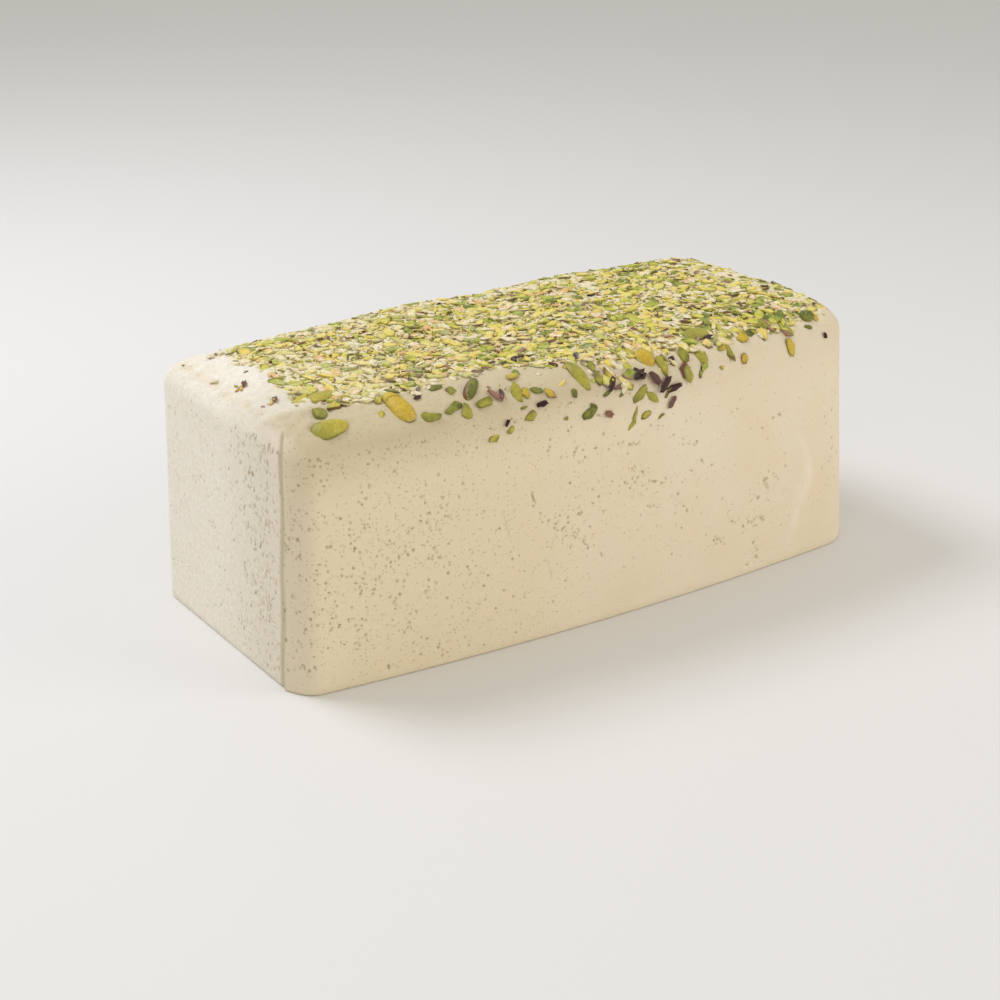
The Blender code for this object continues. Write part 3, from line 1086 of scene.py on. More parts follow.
# Rows of air holes, each as in HoleRow
ROWS = (
    ((56, 28), (68, 24.5), 9, 0.7),
    ((67, 24), (81, 22), 11, 0.8, (0.30, 0.72)),
    ((80, 23), (72, 19), 7),
    ((84, 39), (73, 31), 9, 1.4, (0.30, 0.75)),
    ((52, 20), (59, 16), 7, 0.8, (0.30, 0.72)),
    ((71, 4), (77, 8), 6),
    ((77, 8), (75, 12), 4),
    ((29, 46), (38, 38), 12, 1.2),
    ((-27, 46), (-15, 35), 9),
    ((1.4, 73.4), (11.8, 71.3), 14, 0.5),
    ((33.8, 66.2), (42.9, 64.3), 10, 0.6),
    ((4, 64), (14, 60), 12, 1.2),
    ((10, 59), (24, 50), 20, 2.4),
    ((2, 56), (12, 52), 12, 2.6),
    ((16, 44), (23, 42.6), 8, 0.6),
    ((-37, 54), (-27, 41), 12, 1.2),
    ((-22, 43), (-11, 33), 14, 1.6),
    ((-20, 50), (-12, 44), 9),
    ((54, 78), (78, 66), 9, 0.5, (0.20, 0.36)),
    ((78, 66), (90, 47), 9, 0.5, (0.20, 0.36)),
)
# Marks on the front, each as in ToolMark
MARKS = (
    ((-2, 83), (-6.8, 74), (-4.1, 51.3), 0.8, 0.14, -0.25),
    ((-52.8, 56.3), (-51.2, 50.3), (-49.6, 44.8), 0.8, 0.20, -0.4),
    ((-39.8, 63), (-39.2, 59.8), (-37.9, 57.2), 1.3, 0.45, -0.9),
    ((-34.5, 34.5), (-32, 29), (-31, 22.5), 0.9, 0.20, -0.35),
    ((54, 78), (81, 65.5), (90.5, 44), 0.9, 0.12, -0.18),
    ((-95, 35.2), (-88, 33.5), (-81.2, 33.2), 0.5, -0.08, 0.7),
    ((-116.1, 24.2), (-111, 22.6), (-106.1, 21.9), 0.5, -0.08, 0.7),
    ((-96.4, 18), (-91.5, 18.8), (-86.7, 19), 0.5, -0.08, 0.7),
    ((100, 56), (106.8, 47), (106.6, 39.5), 4.6, -0.08, 0.42),
    ((107, 42.5), (107.8, 33), (103, 25), 7.5, -0.10, 0.55),
    ((105, 27.5), (99.8, 18.5), (95, 5.5), 6.4, -0.08, 0.42),
    ((106.6, 40), (102.2, 31), (98.5, 24), 2.0, -0.05, 0.35),
    ((81.2, 38.8), (82.6, 37), (83.6, 35), 2.6, 0.30, -0.55),
    ((78.5, 24), (79.7, 22.6), (80.6, 20.8), 2.2, 0.20, -0.45),
    ((53.3, 20.6), (54.8, 19.5), (56.2, 19), 1.7, 0.20, -0.40),
    ((75.3, 6.4), (76.5, 5.5), (77.6, 5), 1.7, 0.20, -0.40),
)


@dataclass
class HalvaBlock:
    """The halva itself, with its air holes, tool marks, crease and crumbly top."""

    form: LoafForm
    finish: HalvaFinish
    seed: int = 5
    hole_depth: float = 1.0  # as a share of its radius
    hole_edge_size: float = 0.40 * MM  # the faces' size at a hole
    crease_face_size: float = 0.6 * MM
    crumb_face_size: float = 0.85 * MM
    plain_size: float = 4.5 * MM
    crumble: float = 1.15 * MM
    families: tuple[int, ...] = (1, 1, 1, 1, 2, 4)  # how many holes lie together
    family_spread: float = 2.6 * MM
    deep_from: float = 0.45 * MM  # smaller holes are shallow, and so get less painted shade
    hole_lean: float = 0.35  # radians
    rim_depth: float = 0.35  # a hole's depth at its edge, as a share of the whole
    rim_dark: float = 0.40  # and its painted shade there
    lip: float = 0.06 * MM  # how high the halva stands round a hole
    lip_reach: float = 1.3  # and how far out, in half widths
    clusters: tuple[HoleCluster, ...] = tuple(HoleCluster(*row) for row in CLUSTERS)
    rows: tuple[HoleRow, ...] = tuple(HoleRow(*row) for row in ROWS)
    marks: tuple[ToolMark, ...] = tuple(ToolMark(*row) for row in MARKS)
    crease_groove: float = 0.20 * MM
    crease_half_width: Pair = (2.9 * MM, 1.7 * MM)  # at the base and at the top
    # how dark the crease is painted: painted shade in its groove
    crease_painted_shade: float = 0.62
    refinements: int = 5
    crumbled_x: float = -0.100  # the top is bare and crumbly from here to the left end
    near_left: Pair = (-0.095, -0.120)  # and crumbles most between these
    crumbly_under: Pair = (7 * MM, 1.5 * MM)  # how far under the top it starts to crumble, and crumbles most
    crumbly_among_nuts: float = 0.35
    crumbs: tuple[Pair, ...] = ((0.9, 5.5 * MM), (0.5, 2.8 * MM))  # their share of crumble, and their size
    wave: float = 0.22 * MM  # how uneven the walls are
    wave_size: float = 24 * MM
    flat_under: float = 0.05 * MM  # the base stays flat up to here
    wear: Pair = (0.75, 0.5)  # how strong the tool marks are, and how far that varies
    wear_size: float = 3 * MM
    rind_soft: float = 0.3 * MM  # how soft the rind's edge is along the crease
    rind_softer: float = 6.0 * MM  # how much softer above it
    rind_ragged: float = 1.6 * MM
    rind_lean: float = 0.9  # how far the rind's edge slants inwards above the crease
    crease_wobble: float = 0.35 * MM
    crease_slant: float = 1.5  # how far the crease moves back for each metre inwards from the end
    end_reach: float = 7 * MM  # what lies this near the left end belongs to it
    pitted: Pair = (0.15, 0.60)  # the pinholes everywhere, and how many more where they are thickest

    def build(self) -> Object:
        """Builds and dresses the halva.

        Returns:
            The piece.
        """
        surface = LoafSurface(self.form)
        patches = surface.patches()
        holes = self._holes()
        size_at = self._face_sizes(holes)
        for _ in range(self.refinements):
            changed = [patch.refine(size_at) for patch in patches]
            if not any(changed):
                break
        mesh = surface.mesh("halva", patches)
        self._shape(mesh, holes)
        obj = new_piece("halva", mesh)
        dress(obj, self.finish.material())
        settle_in(obj, "halva", "halva_loaf")
        return obj

    def _holes(self) -> list[Hole]:
        """Draws the air holes: the clusters, then the rows.

        Returns:
            The holes that lie on the walls.
        """
        rng = random.Random(self.seed)
        holes: list[Hole | None] = []
        for cluster in self.clusters:
            drawn = 0
            while drawn < cluster.count:
                across = rng.gauss(cluster.across * MM, cluster.spread_across * MM)
                height = rng.gauss(cluster.height * MM, cluster.spread_up * MM)
                for _ in range(rng.choice(self.families)):
                    x, z = (middle + rng.gauss(0, self.family_spread) for middle in (across, height))
                    holes.append(self._hole(rng, cluster.wall, x, z, cluster.radius, cluster.stretch))
                    drawn += 1
        for row in self.rows:
            for _ in range(row.count):
                share = rng.random()
                x, z = (
                    (first + (last - first) * share + rng.gauss(0, row.scatter)) * MM
                    for first, last in zip(row.start, row.end)
                )
                holes.append(self._hole(rng, Wall.FRONT, x, z, row.radius, row.stretch))
        return [hole for hole in holes if hole is not None]

    def _hole(
        self, rng: random.Random, wall: Wall, across: float, height: float, radius: Pair, stretch: Pair
    ) -> Hole | None:
        """Draws one hole.

        Args:
            rng: Where the random numbers come from.
            wall: The wall it is in.
            across: X on the front and back, Y on the ends.
            height: Its height.
            radius: Its least and greatest half width, in millimetres.
            stretch: How much taller than wide it may be.

        Returns:
            The hole, or None where its place lies off the wall.
        """
        least, most = (end * MM for end in radius)
        # Small holes are commoner than large ones, and only some of them are deep and painted dark with
        # shade.
        half = least + (most - least) * rng.random() ** 1.8
        tall = half * rng.uniform(*stretch)
        dark = (0.30 + 0.70 * rng.random() ** 1.6) * min(1.0, half / self.deep_from)
        lean = rng.gauss(0, self.hole_lean)
        spot = self.form.place_on(wall, across, height)
        if spot is None:
            return None
        stretch_round, rise = spot
        near = np.array([spot, (stretch_round + 0.002, rise), (stretch_round, rise + 0.005)])
        here, right, over = (Vector(p) for p in self.form.on_wall(near))
        beside, upward = (right - here).normalized(), (over - here).normalized()
        turn = Matrix.Rotation(lean, 3, beside.cross(upward))
        return Hole(here, turn @ beside, turn @ upward, half, tall, dark)

    def _mark_points(self, mark: ToolMark) -> Array:
        """Points along a mark, on the front wall."""
        return self.form.on_wall(np.array([self.form.place_on(Wall.FRONT, x, z) for x, z in mark.line()]))

    def _face_sizes(self, holes: list[Hole]) -> Callable[[Array], Array]:
        """Plans the faces' sizes: fine at holes, marks and the crease, middling where it crumbles.

        Args:
            holes: The air holes.

        Returns:
            A function that gives the wanted size at each of some points.
        """
        seeds = [(hole.place, max(hole.half_width, hole.half_height)) for hole in holes]
        for mark in self.marks:
            seeds += [(Vector(p), mark.width * MM / 2) for p in self._mark_points(mark)[::2]]
        tree = tree_of([here for here, _ in seeds])

        def size_at(points: Array) -> Array:
            """The wanted face size at each point.

            Args:
                points: The points.

            Returns:
                A size for each.
            """
            sizes = np.empty(len(points))
            for row, point in enumerate(points):
                found = tree.find_n(point, 3)
                nearest = min(max(0.0, gap - seeds[number][1]) for _, number, gap in found)
                sizes[row] = self.hole_edge_size + 1.2 * max(0.0, nearest - 0.10 * MM)
            creased = self._crease(points, 1.3) > 0
            sizes = np.where(creased, np.minimum(sizes, self.crease_face_size), sizes)
            crumbled = (points[:, 0] < self.crumbled_x) & (self.form.drop(points) < 5 * MM)
            sizes = np.where(crumbled, np.minimum(sizes, self.crumb_face_size), sizes)
            return np.minimum(sizes, self.plain_size)

        return size_at

    def _shape(self, mesh: Mesh, holes: list[Hole]) -> None:
        """Presses the holes, marks, crease and crumbs into the mesh, and stores where they are.

        Args:
            mesh: The loaf's plain mesh.
            holes: The air holes.
        """
        points, normals = vectors_of(mesh), vectors_of(mesh, "normal")
        depth, dark, mark = self._pressed(points, holes)
        crease = self._crease(points)
        depth += crease * self.crease_groove
        # The crease is painted dark as well as pressed in: painted shade in its groove, carried in the marks'
        # tint.
        mark -= crease * self.crease_painted_shade
        near_left = smooth_step(*self.near_left, points[:, 0])
        least = self.crumbly_among_nuts
        crumbly = smooth_step(*self.crumbly_under, self.form.drop(points)) * (least + (1 - least) * near_left)
        high = crumbly > 0
        crumbs = (rise * lumps(points[high], size, seed) for seed, (rise, size) in enumerate(self.crumbs, 1))
        depth[high] -= crumbly[high] * self.crumble * sum(crumbs)
        # The walls' unevenness fades out towards the base, which stays flat.
        depth -= self.wave * lumps(points, self.wave_size, 3) * smooth_step(0, 4 * MM, points[:, 2])
        depth[points[:, 2] < self.flat_under] = 0
        points = points - normals * depth[:, None]
        move_points(mesh, points)
        pitted, greyed = self._worn(points, near_left)
        looks = {"hole": dark, "mark": mark, "moulded": self._moulded(points)}
        add_attributes(mesh, looks | {"pitted": pitted, "greyed": greyed, "crumbly": crumbly})

    def _pressed(self, points: Array, holes: list[Hole]) -> tuple[Array, ...]:
        """Finds how deep the air holes and the tool marks lie, the holes' painted shade, and the marks' tint.

        Args:
            points: The mesh's points.
            holes: The air holes.

        Returns:
            For each point the depth, the holes' painted shade and the marks' tint.
        """
        tree = tree_of(points)
        depth, dark, mark = np.zeros((3, len(points)))
        for hole in holes:
            widest = max(hole.half_width, hole.half_height)
            for place, number, _ in tree.find_range(hole.place, widest * self.lip_reach):
                reach = hole.reach(place)
                if reach < 1:
                    bowl = math.sqrt(1 - reach**2)
                    deep = self.hole_depth * hole.half_width * (self.rim_depth + (1 - self.rim_depth) * bowl)
                    # A hole is painted dark: painted shade, deepest in its middle.
                    shade = hole.dark * (self.rim_dark + (1 - self.rim_dark) * bowl)
                    depth[number], dark[number] = max(depth[number], deep), max(dark[number], shade)
                elif reach < self.lip_reach:
                    depth[number] -= self.lip * (self.lip_reach - reach)
        worn = self.wear[0] + self.wear[1] * lumps(points, self.wear_size, 8)
        for each in self.marks:
            half = each.width * MM / 2
            line = self._mark_points(each)
            for step, centre in enumerate(line):
                fade = math.sin(math.pi * step / (len(line) - 1)) ** 0.5
                for _, number, gap in tree.find_range(Vector(centre), half):
                    profile = (1 - (gap / half) ** 2) * fade * worn[number]
                    if abs(mark[number]) < abs(each.tint) * profile:
                        mark[number] = each.tint * profile
                        deeper = max if each.depth > 0 else min
                        depth[number] = deeper(depth[number], each.depth * MM * profile)
        return depth, dark, mark

    def _worn(self, points: Array, near_left: Array) -> tuple[Array, Array]:
        """Finds where the halva is full of pinholes, and where shade is painted grey on it by the front
        left corner, both thickest at the crease.

        Args:
            points: The mesh's points.
            near_left: How near the left end each is, from 0 to 1.

        Returns:
            The share of pinholes and of painted shade at each point.
        """
        x, y, _ = points.T
        near_corner = smooth_step(0.01, -0.040, y)
        front = smooth_step(0.04, -0.10, x) * (y < -0.04)
        plain, more = self.pitted
        pitted = plain + more * np.where(x < -self.form.length / 2 + self.end_reach, near_corner * 0.8, front)
        # Shade is painted grey on the cut end towards the crease, and on the top's front left corner beside
        # the nuts.
        greyed = smooth_step(13 * MM, 4 * MM, x + self.form.length / 2) * near_corner
        by_nuts = smooth_step(10 * MM, 4 * MM, self.form.drop(points)) * near_left
        return pitted, np.maximum(greyed, 1.2 * by_nuts * smooth_step(0.010, -0.030, y))

    def _moulded(self, points: Array) -> Array:
        """Where the surface is the moulded rind, and where it is cut or crumbled.

        Args:
            points: The mesh's points.

        Returns:
            For each a value from 0, cut, to 1, moulded.
        """
        x, y, z = points.T
        share = z / self.form.height
        # The left end is cut. The cut ends at the crease, and higher up at a line that slants inwards.
        end_x = -self.form.length / 2 + self.form.left.draft * share
        edge = self.form.crease(share) + self.rind_lean * np.clip(x - end_x - 2 * MM, 0, 22 * MM)
        soft = self.rind_soft + self.rind_softer * smooth_step(0.80, 0.94, share)
        ragged = self.rind_ragged * lumps(points, 6 * MM, 7) * smooth_step(0.84, 0.96, share)
        front = smooth_step(-1, 1, (edge + ragged - y) / soft)
        past_end = smooth_step(6 * MM, 9 * MM, x + self.form.length / 2)
        others = smooth_step(0.1 * MM, 2.6 * MM, self.form.drop(points) + ragged * 0.5) * past_end
        return np.maximum(front, others)

    def _crease(self, points: Array, widen: float = 1.0) -> Array:
        """How far into the crease each point lies, from 0 to 1. The crease fades out upwards.

        Args:
            points: The points.
            widen: Times its own width.

        Returns:
            A value for each point.
        """
        share = points[:, 2] / self.form.height
        centre = self.form.crease(share) + self.crease_wobble * np.sin(points[:, 2] * 160)
        end_x = -self.form.length / 2 + self.form.left.draft * share
        centre += self.crease_slant * np.clip(points[:, 0] - end_x - 0.8 * MM, 0, 6 * MM)
        at_base, at_top = self.crease_half_width
        half = (at_base + (at_top - at_base) * np.clip(share, 0, 1)) * widen
        near = np.clip(1 - ((points[:, 1] - centre) / half) ** 2, 0, 1)
        on_end = points[:, 0] < -self.form.length / 2 + self.end_reach
        return np.where(on_end, near * smooth_step(1.0, 0.92, share), 0)


# The nuts


class Cut(Enum):
    """The kinds of chopped pistachio, and the halva's own crumbs."""

    GRIT = "grits"
    SLICE = "slices"
    CHUNK = "chunks"
    SLIVER = "slivers"
    SKIN = "skins"
    CRUMB = "crumbs"
    HALVA = "halva_crumbs"


@dataclass
class NutCutter:
    """Makes single pieces of chopped nut, lying flat round the origin, as bmeshes with a rim layer."""

    rng: random.Random

    def cut(self, kind: Cut, size: Size) -> BMesh:
        """Cuts one piece.

        Args:
            kind: The kind of piece.
            size: Its length along X, width along Y and thickness.

        Returns:
            The piece as a closed bmesh.
        """
        if kind is Cut.SLICE:
            return self._slice(size)
        if kind is Cut.CHUNK:
            return self._chunk(size, self.rng.randint(6, 8))
        if kind in (Cut.SLIVER, Cut.GRIT):
            return self._chunk(size, 5)
        return self._skin(size) if kind is Cut.SKIN else self._crumb(size)

    def _outline(self, corners: int, wobble: float, cuts: int) -> list[Vector]:
        """The outline of a chopped piece: a rough oval, cut straight in places.

        Args:
            corners: How many corners it has.
            wobble: How far they stray from the oval, as a share of its radius.
            cuts: How many straight cuts.

        Returns:
            The corners, from -1 to 1 both ways.
        """
        rng = self.rng
        outline = []
        for number in range(corners):
            angle = 2 * math.pi * (number + rng.uniform(-0.28, 0.28)) / corners
            outline.append(Vector((math.cos(angle), math.sin(angle))) * (1 + rng.uniform(-wobble, wobble)))
        for _ in range(cuts):
            angle = rng.uniform(0, 2 * math.pi)
            way, reach = Vector((math.cos(angle), math.sin(angle))), rng.uniform(0.45, 0.85)
            outline = [p * min(1.0, reach / max(p.dot(way), 1e-6)) for p in outline]
        return outline

    def _stack(
        self, rings: list[tuple[list[Vector], Callable[[Vector], float]]], bottom: float, top: Vector
    ) -> BMesh:
        """Joins rings from the bottom up, and closes them at both ends.

        Args:
            rings: Each ring's points, and what gives the share of skin there.
            bottom: The height of the bottom's middle.
            top: The top's middle.

        Returns:
            The closed bmesh.
        """
        bm = bmesh.new()
        rim = bm.verts.layers.float.new("rim")
        rows = []
        for points, skin in rings:
            row = [bm.verts.new(point) for point in points]
            for vert in row:
                vert[rim] = skin(vert.co)
            rows.append(row)
        low, high = bm.verts.new((0, 0, bottom)), bm.verts.new(top)
        low[rim], high[rim] = 0.5, 0.0
        count = len(rows[0])
        for i in range(count):
            j = (i + 1) % count
            bm.faces.new((low, rows[0][j], rows[0][i]))
            bm.faces.new((high, rows[-1][i], rows[-1][j]))
            for below, above in zip(rows, rows[1:]):
                bm.faces.new((below[i], below[j], above[j], above[i]))
        bmesh.ops.triangulate(bm, faces=bm.faces[:])
        return bm

    def _slice(self, size: Size) -> BMesh:
        """A cut through a kernel: an oval face, chopped straight in a place or two, with skin round it.

        Args:
            size: Its length along X, width along Y and thickness.

        Returns:
            The slice.
        """
        rng, (length, width, thickness) = self.rng, size
        taper, bend = rng.uniform(-0.28, 0.28), rng.uniform(-0.35, 0.35)
        dished = rng.uniform(-0.15, 0.10)
        outline = []
        for x, y in self._outline(12, 0.11, rng.choice((1, 2, 2))):
            y = y * (1 - taper * x) + bend * (x * x - 0.5)
            outline.append((x * length / 2, y * width / 2, rng.uniform(-0.14, 0.14) * thickness))
        whole = rng.uniform(0.55, 1.15)  # some slices are peeled

        def ring(scale: float, z: float) -> list[Vector]:
            """One ring of the slice's edge, at a share of its size and of its thickness."""
            return [Vector((x * scale, y * scale, z * thickness + rise)) for x, y, rise in outline]

        rings = [
            (ring(0.88, -0.50), lambda _: whole),
            (ring(1.00, 0.08), lambda _: whole),
            (ring(0.95, 0.40), lambda _: whole * 0.65),
            (ring(0.72, 0.48), lambda _: 0.12),
        ]
        return self._stack(rings, -0.5 * thickness, Vector((0, 0, (0.46 + dished) * thickness)))

    def _chunk(self, size: Size, corners: int) -> BMesh:
        """A chopped chunk: flat cut faces, green towards its edge, with skin left on one side.

        Args:
            size: Its length along X, width along Y and thickness.
            corners: How many corners it has.

        Returns:
            The chunk.
        """
        rng, (length, width, thickness) = self.rng, size
        skin_way, skin_from = rng.uniform(0, 2 * math.pi), rng.uniform(0.10, 0.90)
        tip = Vector((rng.uniform(-0.35, 0.35) * length / 2, rng.uniform(-0.35, 0.35) * width / 2, 0))
        slant = (rng.uniform(-0.55, 0.55), rng.uniform(-0.55, 0.55))
        outline = self._outline(corners, 0.26, rng.choice((0, 1, 1)))

        def ring(scale: float, z: float, jitter: float) -> list[Vector]:
            """One ring of the chunk, with its top slanted.

            Args:
                scale: Its size, as a share of the chunk's.
                z: Its height, as a share of the thickness.
                jitter: How far its points stray.

            Returns:
                The ring's points.
            """
            points = []
            for x, y in outline:
                rise = z + 0.5 * (x * slant[0] + y * slant[1]) * (z > 0) + rng.uniform(-jitter, jitter)
                reach = scale * (1 + rng.uniform(-jitter, jitter))
                points.append(Vector((x * reach * length / 2, y * reach * width / 2, rise * thickness)))
            return points

        def skin(point: Vector, least: float) -> float:
            """The share of skin at a point, but at least so much.

            Args:
                point: The point.
                least: The least share.

            Returns:
                The share.
            """
            x, y = point.x / length * 2, point.y / width * 2
            side = x * math.cos(skin_way) + y * math.sin(skin_way)
            return float(max(least, min(1.0, (side - skin_from) * 4 + 0.5)))

        edge = rng.uniform(0.15, 1.08)
        rings = [
            (ring(0.82, -0.5, 0.0), lambda point: skin(point, edge)),
            (ring(1.00, 0.05, 0.08), lambda point: skin(point, edge)),
            (ring(rng.uniform(0.70, 0.92), 0.40, 0.12), lambda point: skin(point, 0.20)),
        ]
        return self._stack(rings, -0.5 * thickness, tip + Vector((0, 0, thickness * 0.50)))

    def _skin(self, size: Size) -> BMesh:
        """A flake of the papery skin, curled across.

        Args:
            size: Its length along X, width along Y and thickness.

        Returns:
            The flake.
        """
        rng, (length, width, thickness) = self.rng, size
        curl, twist = rng.uniform(0.4, 1.4), rng.uniform(-0.6, 0.6)
        bm = bmesh.new()
        rim = bm.verts.layers.float.new("rim")
        along, across = 4, 2
        sheets: list[list[BMVert]] = [[], []]
        for i in range(along + 1):
            for j in range(across + 1):
                u, v = i / along * 2 - 1, j / across * 2 - 1
                y = v * (1 - 0.45 * u * u) * (1 + rng.uniform(-0.18, 0.18)) * width / 2
                rise = curl * v * v * width * 0.28 + twist * u * v * width * 0.3
                x = (u + rng.uniform(-0.12, 0.12)) * length / 2
                for sheet, side in zip(sheets, (-0.5, 0.5)):
                    vert = bm.verts.new((x, y, rise + side * thickness))
                    vert[rim] = 1.2
                    sheet.append(vert)
        under, over = sheets
        columns = across + 1
        for i in range(along):
            for j in range(across):
                a, b = i * columns + j, (i + 1) * columns + j
                bm.faces.new([over[k] for k in (a, b, b + 1, a + 1)])
                bm.faces.new([under[k] for k in (a, a + 1, b + 1, b)])
        border = [edge for edge in bm.edges if edge.is_boundary]
        bmesh.ops.bridge_loops(bm, edges=border)
        bmesh.ops.triangulate(bm, faces=bm.faces[:])
        bmesh.ops.recalc_face_normals(bm, faces=bm.faces[:])
        return bm

    def _crumb(self, size: Size) -> BMesh:
        """A crumb with a few facets.

        Args:
            size: Its length along X, width along Y and thickness.

        Returns:
            The crumb.
        """
        bm = bmesh.new()
        rim = bm.verts.layers.float.new("rim")
        bmesh.ops.create_icosphere(bm, subdivisions=1, radius=0.5)
        for vert in bm.verts:
            swell = self.rng.uniform(0.75, 1.2)
            vert.co = Vector([part * whole for part, whole in zip(vert.co, size)]) * swell
            vert[rim] = 1.0 if self.rng.random() < 0.25 else 0.1
        return bm


@dataclass(frozen=True)
class NutKind:
    """How one kind of piece is cut and scattered. Lengths are in millimetres."""

    cut: Cut
    spacing: float
    crowding: float  # the most pieces for each square millimetre before they are spaced
    length: Pair
    slenderness: Pair  # width as a share of the length
    thickness: Pair
    height: Pair  # the piece's middle above the halva
    tilt: float  # radians
    seed: int
    variants: int

    @property
    def cover(self) -> str:
        """The attribute that says where it lies."""
        return "chunks" if self.cut in (Cut.GRIT, Cut.SLIVER) else self.cut.value

    @property
    def smooth(self) -> bool:
        """Whether it is shaded smooth, as it has no chopped faces."""
        return self.cut in (Cut.SKIN, Cut.HALVA)


class ScatterTree:
    """The Geometry Nodes tree that lays pieces on a surface and joins them to one mesh."""

    NAME = "scatter_pieces"
    INPUTS = (
        ("Geometry", "NodeSocketGeometry"),
        ("Pieces", "NodeSocketCollection"),
        ("Finish", "NodeSocketMaterial"),
        ("Cover", "NodeSocketString"),
        ("Spacing", "NodeSocketFloat"),
        ("Crowding", "NodeSocketFloat"),
        ("Tilt", "NodeSocketFloat"),
        ("Lowest", "NodeSocketFloat"),
        ("Highest", "NodeSocketFloat"),
        ("Seed", "NodeSocketInt"),
    )
    # The Random Value node's inputs for the least and most, and its output, for each data type
    RANDOM_SOCKETS = {"FLOAT_VECTOR": (0, 1, 0), "FLOAT": (2, 3, 1), "INT": (4, 5, 2)}

    def __init__(self) -> None:
        """Builds the tree."""
        self.tree = bpy.data.node_groups.new(self.NAME, "GeometryNodeTree")
        for name, kind in self.INPUTS:
            self.tree.interface.new_socket(name, in_out="INPUT", socket_type=kind)
        self.tree.interface.new_socket("Geometry", in_out="OUTPUT", socket_type="NodeSocketGeometry")
        self._build()

    def _build(self) -> None:
        """Adds the nodes."""
        tree = self.tree
        given = add_node(tree, "NodeGroupInput").outputs
        tilt = given["Tilt"]
        back = add_node(tree, "ShaderNodeMath", {0: tilt, 1: -1.0}, operation="MULTIPLY").outputs["Value"]
        least = add_node(tree, "ShaderNodeCombineXYZ", {"X": back, "Y": back}).outputs["Vector"]
        turns = {"X": tilt, "Y": tilt, "Z": 2 * math.pi}
        most = add_node(tree, "ShaderNodeCombineXYZ", turns).outputs["Vector"]
        # Each random value has a seed of its own, so that no two go together.
        drawn = {}
        for name, kind, low, high, step in (
            ("turn", "FLOAT_VECTOR", least, most, 11),
            ("pick", "INT", 0, 9999, 23),
            ("rise", "FLOAT", given["Lowest"], given["Highest"], 37),
            ("tone", "FLOAT", 0.0, 1.0, 41),
            ("skin", "FLOAT", 0.0, 1.0, 53),
        ):
            terms = {0: given["Seed"], 1: float(step)}
            seed = add_node(tree, "ShaderNodeMath", terms, operation="ADD").outputs["Value"]
            first, second, output = self.RANDOM_SOCKETS[kind]
            ends = {first: low, second: high, 8: seed}
            drawn[name] = add_node(tree, "FunctionNodeRandomValue", ends, data_type=kind).outputs[output]
        named = {"Name": given["Cover"]}
        cover = add_node(tree, "GeometryNodeInputNamedAttribute", named, data_type="FLOAT")
        density = {
            "Mesh": given["Geometry"],
            "Distance Min": given["Spacing"],
            "Density Max": given["Crowding"],
            "Density Factor": cover.outputs["Attribute"],
            "Seed": given["Seed"],
        }
        spread = add_node(
            tree, "GeometryNodeDistributePointsOnFaces", density, distribute_method="POISSON"
        ).outputs
        turn = add_node(tree, "FunctionNodeEulerToRotation", {"Euler": drawn["turn"]}).outputs["Rotation"]
        turns = {"Rotation": spread["Rotation"], "Rotate By": turn}
        turned = add_node(tree, "FunctionNodeRotateRotation", turns, rotation_space="LOCAL")
        loose = {"Collection": given["Pieces"], "Separate Children": True, "Reset Children": True}
        placing = {
            "Points": spread["Points"],
            "Instance": add_node(tree, "GeometryNodeCollectionInfo", loose).outputs["Instances"],
            "Pick Instance": True,
            "Instance Index": drawn["pick"],
            "Rotation": turned.outputs["Rotation"],
        }
        laid = add_node(tree, "GeometryNodeInstanceOnPoints", placing).outputs["Instances"]
        rise = add_node(tree, "ShaderNodeCombineXYZ", {"Z": drawn["rise"]}).outputs["Vector"]
        lifting = {"Instances": laid, "Translation": rise, "Local Space": True}
        laid = add_node(tree, "GeometryNodeTranslateInstances", lifting).outputs["Instances"]
        kind = {"domain": "INSTANCE", "data_type": "FLOAT"}
        for name in ("tone", "skin"):
            stored = {"Geometry": laid, "Name": name, "Value": drawn[name]}
            laid = add_node(tree, "GeometryNodeStoreNamedAttribute", stored, **kind).outputs["Geometry"]
        joined = add_node(tree, "GeometryNodeRealizeInstances", {"Geometry": laid}).outputs["Geometry"]
        dress_in = {"Geometry": joined, "Material": given["Finish"]}
        dressed = add_node(tree, "GeometryNodeSetMaterial", dress_in).outputs["Geometry"]
        add_node(tree, "NodeGroupOutput", {"Geometry": dressed})

    def run(self, seat: Object, values: dict[str, Any]) -> Mesh:
        """Runs the tree on a surface.

        Args:
            seat: The surface, with the cover attributes.
            values: A value for each input by its name.

        Returns:
            The joined pieces as a plain mesh.
        """
        modifier = seat.modifiers.new(self.NAME, "NODES")
        modifier.node_group = self.tree
        for item in self.tree.interface.items_tree:
            if item.in_out == "INPUT" and item.name in values:
                modifier[item.identifier] = values[item.name]
        graph = bpy.context.evaluated_depsgraph_get()
        graph.update()
        mesh = bpy.data.meshes.new_from_object(seat.evaluated_get(graph))
        seat.modifiers.remove(modifier)
        return mesh


@dataclass(frozen=True)
class PlacedNut:
    """A piece laid at the cover's edge, one of a given list. Its lengths are in millimetres.

    It goes to the point of the halva nearest to its place.
    """

    cut: Cut
    place: tuple[float, float, float]
    turn: float  # degrees from along the loaf, anticlockwise seen from outside
    length: float
    width: float
    tone: float
    skin: float


